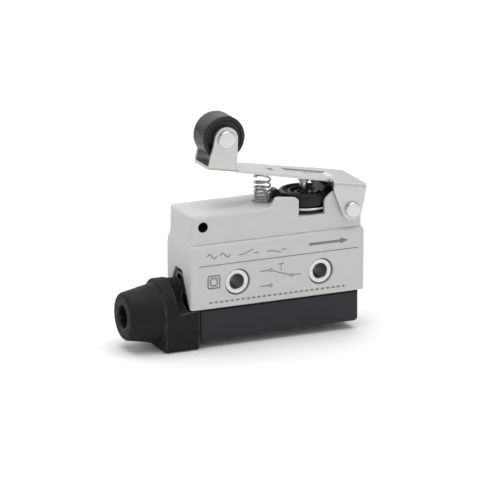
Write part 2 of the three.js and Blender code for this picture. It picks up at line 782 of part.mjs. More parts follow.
addPiece("plunger_seal", makeSeal(), "rubber");
addPiece(
  "seal_retaining_ring",
  bushing(7.35, 6.7, "z", onMid(WELL.x), 17.35, 18.3, 0.2, 36),
  "brightSteel",
);
addPiece("plunger", makePlunger(), "brightSteel");
addPiece("plunger_guide", makeGuide(), "brass");
addPiece(
  "return_spring",
  coil(RETURN_SPRING.x, RETURN_SPRING.coil, RETURN_SPRING.wire, 6.5, returnSpringHeight),
  "brightSteel",
);
addPiece("plunger_spring", coil(WELL.x, 1.7, 0.2, 4, (share) => 10.45 + 2.35 * share), "brightSteel");

// ---------------------------------------------------------------- switch block

function makeSwitchBase() {
  const barriers = [-8.0, 7.6];
  let base = box(BLOCK.left, BLOCK.right, BLOCK.front, BLOCK.back, BLOCK.bottom, BLOCK.joint);
  for (const x of barriers) {
    base = base.add(box(x - 0.6, x + 0.6, BLOCK.front + 0.6, BLOCK.back - 0.6, -11.5, BLOCK.bottom + 1));
  }
  for (const x of Object.values(sleeveSides)) {
    base = base.subtract(rod(SLEEVE.hole, "y", [x, 0, 0], BLOCK.front - 1, BLOCK.back + 1, 32));
  }
  const legRoom = TERMINAL.sheet / 2 + 0.2;
  const [front, back] = [MID_Y - TERMINAL.legHalf - 0.2, MID_Y + TERMINAL.legHalf + 0.2];
  for (const x of Object.values(LEG_X)) {
    base = base.subtract(box(x - legRoom, x + legRoom, front, back, BLOCK.bottom - 1, BLOCK.joint + 1));
  }
  return base;
}

function makeSwitchCap() {
  const inner = { left: -18.6, right: 18.5, front: -14.6, back: -2.9, top: 11.8 };
  const bottom = BLOCK.joint + 0.1;
  return box(BLOCK.left, BLOCK.right, BLOCK.front, BLOCK.back, bottom, BLOCK.top)
    .subtract(box(inner.left, inner.right, inner.front, inner.back, bottom - 1, inner.top))
    .subtract(rod(3.0, "z", onMid(WELL.x), inner.top - 1, BLOCK.top + 1));
}

// A sheet-metal terminal: a screw pad below, a leg through the base and an arm at the top.
function makeTerminal(which, padFrom, padTo, legTop, armTo) {
  const { sheet, padHalf, legHalf, padTop } = TERMINAL;
  const x = LEG_X[which];
  const [legLeft, legRight] = [x - sheet / 2, x + sheet / 2];
  let terminal = box(padFrom, padTo, MID_Y - padHalf, MID_Y + padHalf, padTop - sheet, padTop);
  terminal = terminal.add(
    box(legLeft, legRight, MID_Y - legHalf, MID_Y + legHalf, padTop - sheet, legTop),
  );
  if (armTo !== null) {
    const armSheet = 0.4;
    const [from, to] = armTo < x ? [armTo, legRight] : [legLeft, armTo];
    terminal = terminal.add(
      box(from, to, MID_Y - legHalf, MID_Y + legHalf, legTop - armSheet, legTop),
    );
  }
  return terminal.subtract(
    rod(1.6, "z", onMid(PAD_SCREW_X[which]), padTop - sheet - 1, padTop + 1, 20),
  );
}

function makeBlade() {
  const { left, pivot, bottom, sheet, half } = BLADE;
  return box(left, pivot, MID_Y - half, MID_Y + half, bottom, bottom + sheet)
    .subtract(rod(0.6, "z", onMid(CONTACT_X), bottom - 1, bottom + sheet + 1, 16))
    .subtract(box(-3, 8, MID_Y - 0.9, MID_Y + 0.9, bottom - 1, bottom + sheet + 1));
}

function makeMovingContact() {
  const [low, high] = [BLADE.bottom - 0.08, BLADE.bottom + BLADE.sheet + 0.08];
  return turned(
    [[0, 7.3], [1.2, 7.3], [1.2, low], [0.5, low], [0.5, high], [1.2, high], [1.2, 8.9], [0, 8.9]],
    "z",
    onMid(CONTACT_X),
    20,
  );
}

function makeSnapSpring() {
  const chord = 5.2;
  const sag = 2.0;
  const radius = (chord * chord + sag * sag) / (2 * sag);
  const half = Math.asin(chord / radius);
  const [centreX, centreZ] = [2.8, 5.6 + radius];
  const shape = new THREE.Shape();
  shape.absarc(centreX, centreZ, radius, -Math.PI / 2 - half, -Math.PI / 2 + half);
  shape.absarc(centreX, centreZ, radius - 0.25, -Math.PI / 2 + half, -Math.PI / 2 - half, true);
  return prism(shape, "xz", MID_Y - 1.5, MID_Y + 1.5);
}

function makeButton() {
  return turned(
    [
      [0, 8.45],
      [1.1, 8.45],
      [1.3, 8.65],
      [1.3, 9.6],
      [2.5, 9.6],
      [2.5, 10.2],
      [0.9, 10.2],
      [0.9, 10.9],
      [0, 10.9],
    ],
    "z",
    onMid(WELL.x),
    24,
  );
}

addPiece("switch_base", makeSwitchBase(), "phenolic");
addPiece("switch_cap", makeSwitchCap(), "phenolic");
addPiece("common_terminal", makeTerminal("common", 11, 18.3, 8.7, null), "brass");
addPiece("normally_open_terminal", makeTerminal("open", -4, 4, 5.1, -10.5), "brass");
addPiece("normally_closed_terminal", makeTerminal("closed", -18.3, -11, 10.4, -7), "brass");
for (const [which, x] of Object.entries(PAD_SCREW_X)) {
  addPiece("terminal_screw_" + which, makeScrew(x, 2.8, 1.4, -10.7, -8.75, -5.2, 0.7), "brightSteel");
}
addPiece("contact_open", rod(1.3, "z", onMid(CONTACT_X), 5.15, 5.55, 20), "silver");
addPiece("contact_closed", rod(1.3, "z", onMid(CONTACT_X), 9.05, 9.95, 20), "silver");
addPiece("moving_blade", makeBlade(), "brass");
addPiece("moving_contact", makeMovingContact(), "silver");
addPiece("snap_spring", makeSnapSpring(), "brass");
addPiece("switch_button", makeButton(), "acetal");

export default limitSwitch;
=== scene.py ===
"""Enclosed limit switch with a one-way roller lever: the looks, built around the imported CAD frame.

Lengths in the mesh code are millimetres: X along the case, Y out of the mounting face at 0, and Z up from the
mounting holes. make_mesh() turns them into metres.
"""

import json
import math

import bmesh
import bpy
import numpy as np
from mathutils import Matrix, Vector

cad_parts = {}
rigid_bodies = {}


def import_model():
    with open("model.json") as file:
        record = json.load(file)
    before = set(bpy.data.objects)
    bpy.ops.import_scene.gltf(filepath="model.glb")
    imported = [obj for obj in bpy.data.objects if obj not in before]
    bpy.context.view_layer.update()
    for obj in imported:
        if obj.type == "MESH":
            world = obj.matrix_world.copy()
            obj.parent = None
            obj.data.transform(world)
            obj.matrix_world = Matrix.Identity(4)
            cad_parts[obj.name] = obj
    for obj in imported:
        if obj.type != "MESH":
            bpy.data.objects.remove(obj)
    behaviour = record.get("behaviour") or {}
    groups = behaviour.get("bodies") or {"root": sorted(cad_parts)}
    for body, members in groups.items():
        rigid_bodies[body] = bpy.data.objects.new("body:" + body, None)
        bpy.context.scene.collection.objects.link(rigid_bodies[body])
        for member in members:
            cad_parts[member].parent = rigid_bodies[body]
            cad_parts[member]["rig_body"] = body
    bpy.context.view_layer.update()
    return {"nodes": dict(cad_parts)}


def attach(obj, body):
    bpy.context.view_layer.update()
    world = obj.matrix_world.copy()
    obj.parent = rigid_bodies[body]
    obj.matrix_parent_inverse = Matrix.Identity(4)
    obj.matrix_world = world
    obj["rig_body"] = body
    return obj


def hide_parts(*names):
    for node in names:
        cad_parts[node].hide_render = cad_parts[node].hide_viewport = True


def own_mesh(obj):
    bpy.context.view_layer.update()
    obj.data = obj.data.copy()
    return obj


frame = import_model()

MM = 0.001
MID_Y = -8.75
QUARTER = math.pi / 2


def linked(name, data):
    """A new object, in the scene's own collection."""
    made = bpy.data.objects.new(name, data)
    bpy.context.scene.collection.objects.link(made)
    return made


# ------------------------------------------------------------------ camera and light

CAMERA_PLACE = (-454.0, -1014.4, 329.4)  # millimetres
CAMERA_BACK = Vector((-0.3910, -0.8761, 0.2817))  # from the switch towards the camera
CAMERA_LENS = 296.0
LIGHT_AIM = Vector((0, 0, 0.01))


def make_camera():
    data = bpy.data.cameras.new("camera")
    data.lens = CAMERA_LENS
    data.sensor_width = 36.0
    data.clip_start, data.clip_end = 0.05, 20.0
    camera = linked("camera", data)
    back = CAMERA_BACK.normalized()
    right = Vector((0, 0, 1)).cross(back).normalized()
    up = back.cross(right)
    camera.matrix_world = Matrix.Translation(Vector(CAMERA_PLACE) * MM) @ Matrix(
        (right, up, back)
    ).transposed().to_4x4()
    bpy.context.scene.camera = camera


def make_light(name, place, size, power):
    """A soft rectangle of light, placed in metres."""
    data = bpy.data.lights.new(name, "AREA")
    data.shape = "RECTANGLE"
    data.size, data.size_y = size
    data.energy = power
    light = linked(name, data)
    light.location = place
    light.rotation_euler = (LIGHT_AIM - Vector(place)).to_track_quat("-Z", "Y").to_euler()


def make_studio():
    scene = bpy.context.scene
    scene.view_settings.view_transform = "Standard"
    world = bpy.data.worlds.new("studio")
    world.use_nodes = True
    backdrop = world.node_tree.nodes["Background"]
    backdrop.inputs["Color"].default_value = (1, 1, 1, 1)
    backdrop.inputs["Strength"].default_value = 0.45
    scene.world = world
    make_light("top_softbox", (0.05, 0.0, 1.3), (1.5, 1.5), 16.5)
    make_light("left_softbox", (-1.35, -0.5, 0.55), (0.8, 0.9), 1.6)
    make_light("front_softbox", (0.55, -1.45, 0.7), (0.9, 0.7), 1.7)
    make_light("back_softbox", (0.0, 1.55, 0.8), (2.0, 1.2), 7.5)


# ------------------------------------------------------------------ outlines


def fillet(points, radius, steps=5, closed=True):
    """A polyline whose corners are arcs. radius is one number, or one for each corner."""
    points = [np.array(p, float) for p in points]
    count = len(points)
    radii = list(radius) if hasattr(radius, "__len__") else [radius] * count
    made = []
    for i, (point, r) in enumerate(zip(points, radii)):
        if r <= 0 or (not closed and i in (0, count - 1)):
            made.append(point)
            continue
        a, b = points[i - 1] - point, points[(i + 1) % count] - point
        length_a, length_b = np.linalg.norm(a), np.linalg.norm(b)
        a, b = a / length_a, b / length_b
        half = math.acos(max(-1.0, min(1.0, float(a @ b)))) / 2
        if half > QUARTER - 0.01:
            made.append(point)
            continue
        tangent = min(r / math.tan(half), 0.48 * length_a, 0.48 * length_b)
        r = tangent * math.tan(half)
        centre = point + (a + b) / np.linalg.norm(a + b) * r / math.sin(half)
        u, v = point + a * tangent - centre, point + b * tangent - centre
        turn = math.pi - 2 * half
        for k in range(steps + 1):
            f = k / steps
            made.append(
                centre + (math.sin((1 - f) * turn) * u + math.sin(f * turn) * v) / math.sin(turn)
            )
    return made


def grown(outline, amount):
    """A closed outline moved outwards by amount, square to itself."""
    p = np.array(outline, float)
    following = np.roll(p, -1, 0)
    edge = following - p
    edge /= np.linalg.norm(edge, axis=1)[:, None]
    area = float((p[:, 0] * following[:, 1] - following[:, 0] * p[:, 1]).sum())
    normal = np.stack([edge[:, 1], -edge[:, 0]], 1) * math.copysign(1, area)
    before = np.roll(normal, 1, 0)
    return p + amount * (normal + before) / (1 + (normal * before).sum(1))[:, None]


def rectangle(x0, x1, y0, y1):
    return [(x0, y0), (x1, y0), (x1, y1), (x0, y1)]


def arc(centre, radius, start, end, steps):
    return [
        (
            centre[0] + radius * math.cos(start + (end - start) * k / steps),
            centre[1] + radius * math.sin(start + (end - start) * k / steps),
        )
        for k in range(steps + 1)
    ]


def smooth(points, steps=5):
    """A Catmull-Rom curve through an open list of points."""
    p = [np.array(q, float) for q in points]
    p = [2 * p[0] - p[1], *p, 2 * p[-1] - p[-2]]
    made = []
    for i in range(1, len(p) - 2):
        for k in range(steps):
            t = k / steps
            made.append(
                0.5
                * (
                    2 * p[i]
                    + (p[i + 1] - p[i - 1]) * t
                    + (2 * p[i - 1] - 5 * p[i] + 4 * p[i + 1] - p[i + 2]) * t**2
                    + (3 * p[i] - p[i - 1] - 3 * p[i + 1] + p[i + 2]) * t**3
                )
            )
    return [*made, p[-2]]


def ribbon(points, width):
    """The outline of a band of one width along an open line."""
    outline = []
    for side in (1, -1):
        run = []
        for i, point in enumerate(points):
            ahead = points[min(i + 1, len(points) - 1)] - points[max(i - 1, 0)]
            ahead = ahead / np.linalg.norm(ahead)
            run.append(point + side * width / 2 * np.array((-ahead[1], ahead[0])))
        outline += run if side == 1 else run[::-1]
    return outline


# ------------------------------------------------------------------ meshes


def object_from(name, shape):
    """An object with the mesh of a bmesh, which is freed."""
    mesh = bpy.data.meshes.new(name)
    shape.to_mesh(mesh)
    shape.free()
    return linked(name, mesh)


def make_mesh(name, rings, wrap=False):
    """A skin over rings of points in millimetres. A ring of one point is a pole, and wrap joins the last ring
    to the first."""
    shape = bmesh.new()
    made = [[shape.verts.new([c * MM for c in p]) for p in ring] for ring in rings]
    pairs = list(zip(made, made[1:]))
    if wrap:
        pairs.append((made[-1], made[0]))
    for a, b in pairs:
        count = max(len(a), len(b))
        for k in range(count):
            following = (k + 1) % count
            corners = [a[k % len(a)], a[following % len(a)], b[following % len(b)], b[k % len(b)]]
            unique = list(dict.fromkeys(corners))
            shape.faces.new(unique)
    if not wrap:
        for ring in (made[0], made[-1]):
            if len(ring) > 2:
                shape.faces.new(ring)
    bmesh.ops.recalc_face_normals(shape, faces=shape.faces)
    return object_from(name, shape)


def placed(outline, plane, at):
    """2-D points in a plane as 3-D points."""
    order = {"xz": (0, 2, 1), "yz": (2, 0, 1), "xy": (0, 1, 2)}[plane]
    return [[(p[0], p[1], at)[i] for i in order] for p in outline]


def rounded_rim(start, end, radius, steps=4):
    """Levels of (place, growth) for a plate between two places with a quarter round at both rims."""
    arcs = [
        (radius * (1 - math.sin(QUARTER * k / steps)), radius * (1 - math.cos(QUARTER * k / steps)))
        for k in range(steps, -1, -1)
    ]
    return [(start + rise, -inset) for rise, inset in arcs] + [
        (end - rise, -inset) for rise, inset in reversed(arcs)
    ]


def flared(outside, face, depth, lip):
    """Levels for a cutter that enters at a face and leaves its rim rounded. It runs from outside to depth."""
    steps = 3
    away = math.copysign(1, depth - face)
    levels = [(outside, lip)]
    for k in range(steps + 1):
        angle = QUARTER * k / steps
        levels.append((face + away * lip * (1 - math.cos(angle)), lip * (1 - math.sin(angle))))
    return [*levels, (depth, 0)]


def plate(name, outline, plane, levels):
    """An outline carried through levels of (place, growth), square to its plane."""
    return make_mesh(name, [placed(grown(outline, g), plane, at) for at, g in levels])


def turned(name, profile, axis, centre, segments=96, wrap=False):
    """A profile of (radius, height) turned about an axis through centre."""
    rings = []
    for radius, height in profile:
        count = 1 if radius < 1e-6 else segments
        ring = []
        for k in range(count):
            angle = 2 * math.pi * k / segments
            u, v = radius * math.cos(angle), radius * math.sin(angle)
            point = {"x": (height, u, v), "y": (v, height, u), "z": (u, v, height)}[axis]
            ring.append([c + p for c, p in zip(centre, point)])
        rings.append(ring)
    return make_mesh(name, rings, wrap=wrap)


def wire(name, path, radius, sides=10):
    """A round wire along a path, with domed ends."""
    path = [np.array(p, float) for p in path]
    rings, side = [], None
    for i, point in enumerate(path):
        ahead = path[min(i + 1, len(path) - 1)] - path[max(i - 1, 0)]
        ahead /= np.linalg.norm(ahead)
        if side is None:
            side = np.cross(ahead, (0.0, 0.0, 1.0))
        side = side - ahead * (side @ ahead)
        side /= np.linalg.norm(side)
        up = np.cross(ahead, side)
        ring = [
            point
            + radius
            * (math.cos(2 * math.pi * k / sides) * side + math.sin(2 * math.pi * k / sides) * up)
            for k in range(sides)
        ]
        if i == 0:
            rings.append([point + (r - point) * 0.6 - ahead * radius * 0.4 for r in ring])
        rings.append(ring)
        if i == len(path) - 1:
            rings.append([point + (r - point) * 0.6 + ahead * radius * 0.4 for r in ring])
    return make_mesh(name, rings)


def boolean(target, tools, operation="DIFFERENCE"):
    """Joins tools to target, or cuts them from it, and removes them."""
    for tool in tools:
        modifier = target.modifiers.new("boolean", "BOOLEAN")
        modifier.operation, modifier.object, modifier.solver = operation, tool, "MANIFOLD"
        apply_modifiers(target)
        bpy.data.objects.remove(tool)


def apply_modifiers(target):
    graph = bpy.context.evaluated_depsgraph_get()
    mesh = bpy.data.meshes.new_from_object(target.evaluated_get(graph), depsgraph=graph)
    target.modifiers.clear()
    target.data = mesh


def soften(target, bevel, angle):
    """Smooth shading by angle, after a narrow bevel on the sharp edges."""
    if bevel:
        modifier = target.modifiers.new("bevel", "BEVEL")
        modifier.width, modifier.segments = bevel * MM, 2
        modifier.limit_method, modifier.angle_limit = "ANGLE", math.radians(angle)
        modifier.use_clamp_overlap = True
        apply_modifiers(target)
    mesh = target.data
    mesh.polygons.foreach_set("use_smooth", [True] * len(mesh.polygons))
    mesh.set_sharp_from_angle(angle=math.radians(angle))
    weighted = target.modifiers.new("weighted", "WEIGHTED_NORMAL")
    weighted.keep_sharp = True


def settle(piece, body, material, slot, *nodes, bevel=0.0, angle=38.0):
    """Gives a finished piece its shading, material and body, and hides the CAD nodes that it stands for. slot
    is not used.
    """
    soften(piece, bevel, angle)
    piece.data.materials.clear()
    piece.data.materials.append(material)
    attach(piece, body)
    if nodes:
        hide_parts(*nodes)
    return piece


def tinted(piece, material, chosen):
    """Gives a second material to the faces whose centres, in millimetres, are chosen."""
    piece.data.materials.append(material)
    for face in piece.data.polygons:
        if chosen(face.center / MM):
            face.material_index = 1


# ------------------------------------------------------------------ materials


def srgb(red, green, blue):
    """A colour of 0 to 255 in each channel, as linear values with alpha."""
    linear = [
        c / 255 / 12.92 if c <= 10 else ((c / 255 + 0.055) / 1.055) ** 2.4
        for c in (red, green, blue)
    ]
    return (*linear, 1.0)


def make_material(
    name,
    dark,
    light,
    roughness,
    bumps,
    mottle=(260, 5200),
    metallic=0.0,
    edge_wear_and_highlight=None,
    **sockets,
):
    """Colour mottled between dark and light at two noise scales, roughness between its two values, bumps as
    (scale, strength, height in mm), and the lighter edge colour as (colour, width in mm, share) along the
    edges: partly real wear, partly a painted highlight on the rims."""
    material = bpy.data.materials.new(name)
    material.use_nodes = True
    nodes, links = material.node_tree.nodes, material.node_tree.links
    shader = nodes["Principled BSDF"]
    shader.inputs["Metallic"].default_value = metallic
    for socket, value in sockets.items():
        shader.inputs[socket.replace("_", " ")].default_value = value
    coordinates = nodes.new("ShaderNodeTexCoord")

    def noise(scale, detail=4.0):
        node = nodes.new("ShaderNodeTexNoise")
        node.inputs["Scale"].default_value = scale
        node.inputs["Detail"].default_value = detail
        links.new(coordinates.outputs["Object"], node.inputs["Vector"])
        return node.outputs["Fac"]

    def ranged(value, low, high, to_low, to_high):
        node = nodes.new("ShaderNodeMapRange")
        for key, number in zip(
            ("From Min", "From Max", "To Min", "To Max"), (low, high, to_low, to_high)
        ):
            node.inputs[key].default_value = number
        links.new(value, node.inputs["Value"])
        return node.outputs["Result"]

    def arithmetic(operation, a, b):
        node = nodes.new("ShaderNodeMath")
        node.operation = operation
        for socket, value in zip(node.inputs, (a, b)):
            if isinstance(value, (int, float)):
                socket.default_value = value
            else:
                links.new(value, socket)
        return node.outputs["Value"]

    def mixed(factor, a, b):
        node = nodes.new("ShaderNodeMix")
        node.data_type = "RGBA"
        links.new(factor, node.inputs["Factor"])
        for socket, value in ((node.inputs["A"], a), (node.inputs["B"], b)):
            if isinstance(value, tuple):
                socket.default_value = value
            else:
                links.new(value, socket)
        return node.outputs["Result"]

    broad, fine = noise(mottle[0]), noise(mottle[1], 2.0)
    blend = arithmetic("ADD", arithmetic("MULTIPLY", broad, 0.6), arithmetic("MULTIPLY", fine, 0.4))
    colour = mixed(ranged(blend, 0.36, 0.64, 0, 1), dark, light)
    rough = ranged(blend, 0.36, 0.64, *roughness)
    soft_edge = nodes.new("ShaderNodeBevel")
    soft_edge.samples = 4
    soft_edge.inputs["Radius"].default_value = 0.08 * MM
    # A lighter colour along the edges: partly real wear, partly a painted highlight on the rims.
    if edge_wear_and_highlight:
        edge_wear_and_highlight_colour, width, share = edge_wear_and_highlight
        edge = nodes.new("ShaderNodeBevel")
        edge.samples = 4
        edge.inputs["Radius"].default_value = width * MM
        geometry = nodes.new("ShaderNodeNewGeometry")
        facing = nodes.new("ShaderNodeVectorMath")
        facing.operation = "DOT_PRODUCT"
        links.new(edge.outputs["Normal"], facing.inputs[0])
        links.new(geometry.outputs["Normal"], facing.inputs[1])
        near = ranged(facing.outputs["Value"], 0.985, 0.86, 0, share)
        patchy = arithmetic("MULTIPLY", near, ranged(noise(mottle[0] * 3), 0.35, 0.62, 0.25, 1))
        colour = mixed(patchy, colour, edge_wear_and_highlight_colour)
    links.new(colour, shader.inputs["Base Color"])
    links.new(rough, shader.inputs["Roughness"])
    normal = soft_edge.outputs["Normal"]
    for scale, strength, height in bumps:
        bump = nodes.new("ShaderNodeBump")
        bump.inputs["Strength"].default_value = strength
        bump.inputs["Distance"].default_value = height * MM
        links.new(noise(scale, 3.0), bump.inputs["Height"])
        links.new(normal, bump.inputs["Normal"])
        normal = bump.outputs["Normal"]
    links.new(normal, shader.inputs["Normal"])
    return material


PLASTIC_GRAIN = ((7000, 0.35, 0.012), (1500, 0.15, 0.02))
RUBBER_GRAIN = ((5200, 0.5, 0.02), (900, 0.25, 0.03))
METAL_GRAIN = ((6500, 0.3, 0.006), (1800, 0.2, 0.006))

MATERIALS = {
    "case": make_material(
        "case_moulding", srgb(200, 198, 196), srgb(205, 203, 201), (0.46, 0.56),
        bumps=PLASTIC_GRAIN, edge_wear_and_highlight=(srgb(226, 225, 223), 0.5, 0.5),
    ),
    "cover": make_material(
        "cover_moulding_and_index_hole_shade", srgb(38, 39, 44), srgb(43, 44, 49), (0.46, 0.6),
        bumps=PLASTIC_GRAIN, edge_wear_and_highlight=(srgb(76, 76, 80), 0.35, 0.4), Specular_IOR_Level=0.3,
    ),
    "rubber": make_material(
        "moulded_rubber", srgb(15, 16, 19), srgb(23, 23, 26), (0.55, 0.75), mottle=(420, 3800),
        bumps=RUBBER_GRAIN, edge_wear_and_highlight=(srgb(118, 118, 120), 0.6, 0.7), Specular_IOR_Level=0.25,
    ),
    "seal": make_material(
        "oiled_rubber", srgb(10, 10, 12), srgb(18, 18, 21), (0.28, 0.46), mottle=(500, 4200),
        bumps=((2600, 0.35, 0.02), (900, 0.3, 0.04)), Specular_IOR_Level=0.35,
    ),
    "steel": make_material(
        "tumbled_steel", srgb(203, 201, 199), srgb(215, 213, 211), (0.38, 0.5), mottle=(2500, 9000),
        bumps=((6500, 0.16, 0.004),), metallic=1.0, edge_wear_and_highlight=(srgb(244, 243, 242), 0.3, 0.7),
    ),
    "bright": make_material(
        "bright_steel", srgb(206, 205, 204), srgb(217, 216, 215), (0.18, 0.26), mottle=(2400, 8200),
        bumps=((5200, 0.08, 0.002),), metallic=1.0, edge_wear_and_highlight=(srgb(246, 246, 245), 0.2, 0.6),
    ),
    "dull": make_material(
        "dull_steel_and_dimple_shade", srgb(92, 92, 94), srgb(118, 117, 118), (0.42, 0.6), mottle=(900, 6200),
        bumps=METAL_GRAIN, metallic=1.0, edge_wear_and_highlight=(srgb(168, 167, 166), 0.2, 0.6),
    ),
    # Darker steel for the inside of the bushes' bores: painted shade in the holes.
    "bore": make_material(
        "bore_steel_with_painted_shade", srgb(158, 158, 159), srgb(174, 173, 173), (0.46, 0.6), mottle=(1400, 6800),
        bumps=METAL_GRAIN, metallic=1.0,
    ),
    "spring": make_material(
        "spring_wire", srgb(150, 149, 148), srgb(206, 205, 203), (0.2, 0.36), mottle=(1400, 6200),
        bumps=((5200, 0.2, 0.004),), metallic=1.0,
    ),
    "roller": make_material(
        "roller_moulding", srgb(14, 14, 17), srgb(27, 27, 30), (0.28, 0.5), mottle=(900, 5200),
        bumps=((4200, 0.35, 0.01), (1200, 0.2, 0.02)), edge_wear_and_highlight=(srgb(80, 80, 83), 0.3, 0.5),
        Specular_IOR_Level=0.42,
    ),
    "brass": make_material(
        "terminal_brass", srgb(176, 140, 74), srgb(206, 172, 104), (0.26, 0.44), mottle=(500, 5200),
        bumps=METAL_GRAIN, metallic=1.0, edge_wear_and_highlight=(srgb(230, 204, 146), 0.2, 0.6),
    ),
    "silver": make_material(
        "contact_silver", srgb(206, 203, 194), srgb(232, 229, 221), (0.2, 0.34), mottle=(900, 5200),
        bumps=METAL_GRAIN, metallic=1.0,
    ),
    "phenolic": make_material(
        "phenolic_moulding", srgb(74, 36, 26), srgb(98, 50, 36), (0.42, 0.6), mottle=(600, 4200),
        bumps=PLASTIC_GRAIN, edge_wear_and_highlight=(srgb(130, 84, 66), 0.25, 0.5),
    ),
    "acetal": make_material(
        "white_acetal", srgb(222, 218, 206), srgb(236, 232, 222), (0.36, 0.5), bumps=PLASTIC_GRAIN,
    ),
    "ink": make_material(
        "pad_printed_ink", srgb(112, 111, 112), srgb(136, 135, 135), (0.5, 0.66), mottle=(1800, 7800),
        bumps=((7800, 0.3, 0.004),),
    ),
}

# ------------------------------------------------------------------ housing

CASE_X = (-26.9, 26.2)
CASE_Y = (-17.5, 0.0)
CASE_BOTTOM, CASE_TOP = -6.8, 20.0
STEP = 0.7  # how far the upper case stands in from the band
FRONT, BACK = CASE_Y[0] + STEP, CASE_Y[1] - STEP  # faces of the upper case
CHEEK_TOP, CHEEK_BACK = 22.6, -15.3
WELL = {"x": 11.2, "radius": 7.5, "bottom": 16.3}
HOLES = {"left": -12.7, "right": 12.7}
INDEX_HOLE = {"x": -22.87, "z": 16.7, "radius": 1.45}
RETURN_SPRING = {"x": -1.5, "radius": 2.25, "seat": 19.5}
BLOCK_ROOM = {"x": (-24.9, 24.2), "y": (-15.9, -1.6), "top": 14.4}
HINGE = (21.94, 17.13)
SCREW_X = 21.6  # the screw that holds the terminal cover, and its post


def case_levels():
    """(height, inset, corner radius) from the bottom rim over the band's shoulder to the rounded top."""
    levels = []
    for k in range(5):
        angle = QUARTER * k / 4
        height = CASE_BOTTOM + 0.4 * (1 - math.cos(angle))
        levels.append((height, 0.4 * (1 - math.sin(angle)), 0.7 + 0.1 * k))
    levels += [(8.6, 0.0, 1.1), (9.3, 0.0, 1.1), (9.9, 0.0, 1.1)]
    for k in range(7):
        angle = math.radians(82) * k / 6
        levels.append((10.35 + 1.12 * math.sin(angle), 0.68 * (1 - math.cos(angle)), 1.1))
    levels += [(11.56, STEP + 0.12, 0.95), (11.68, STEP + 0.22, 0.95), (11.8, STEP + 0.1, 0.95)]
    levels += [(11.86, STEP, 1.0), (12.6, STEP, 1.0), (13.3, STEP, 1.0), (14.0, STEP, 1.0)]
    edge = 1.15
    for k in range(8):
        angle = QUARTER * k / 7
        levels.append(
            (
                CASE_TOP - edge + edge * math.sin(angle),
                STEP + edge * (1 - math.cos(angle)),
                max(1.2 - edge * (1 - math.cos(angle)), 0.12),
            )
        )
    return levels


def left_inset(height, inset):
    """The left end has no ledge: it leans in gently over the height of the shoulder."""
    if not 8.0 < height < 14.5:
        return inset
    share = min(max((height - 8.6) / 5.4, 0.0), 1.0)
    return STEP * share * share * (3 - 2 * share)


def case_additions():
    """The cheeks beside the notch, and the block and post at the right end, which hold the hinge pin."""
    cheek_left = fillet(
        [(-4.6, 18.0), (6.3, 18.0), (6.3, 21.85), (-0.75, 22.75), (-1.95, 20.05), (-4.6, 19.75)],
        [0, 0, 1.7, 1.1, 1.7, 0], 7,
    )
    cheek_right = fillet(
        [(14.0, 18.0), (24.8, 18.0), (24.8, CHEEK_TOP), (17.0, CHEEK_TOP), (14.0, 20.3)],
        [0, 0, 0.5, 2.0, 2.2], 7,
    )
    block = fillet(rectangle(19.0, 24.8, 18.0, CHEEK_TOP), [0, 0, 0.5, 0.5], 5)
    end_post = fillet(rectangle(19.0, 25.5, 15.0, CHEEK_TOP), [0, 0, 0.6, 0.6], 5)
    return [
        plate("cheek_left", cheek_left, "xz", rounded_rim(FRONT, CHEEK_BACK, 0.28)),
        plate("cheek_right", cheek_right, "xz", rounded_rim(FRONT, CHEEK_BACK, 0.28)),
        plate("hinge_block", block, "xz", rounded_rim(-15.8, BACK, 0.28)),
        plate("end_post", end_post, "xz", rounded_rim(FRONT, BACK, 0.6)),
    ]


def case_rooms():
    """The space for the switch block, open below, in two heights."""
    below = -8.0
    room = fillet(rectangle(*BLOCK_ROOM["x"], *BLOCK_ROOM["y"]), 0.8)
    upper_room = fillet(rectangle(-19, -5.5, -14.9, -2.6), 0.8)
    return [
        plate("room", room, "xy", [(below, 0), (BLOCK_ROOM["top"], 0)]),
        plate("upper_room", upper_room, "xy", [(below, 0), (17.6, 0)]),
    ]


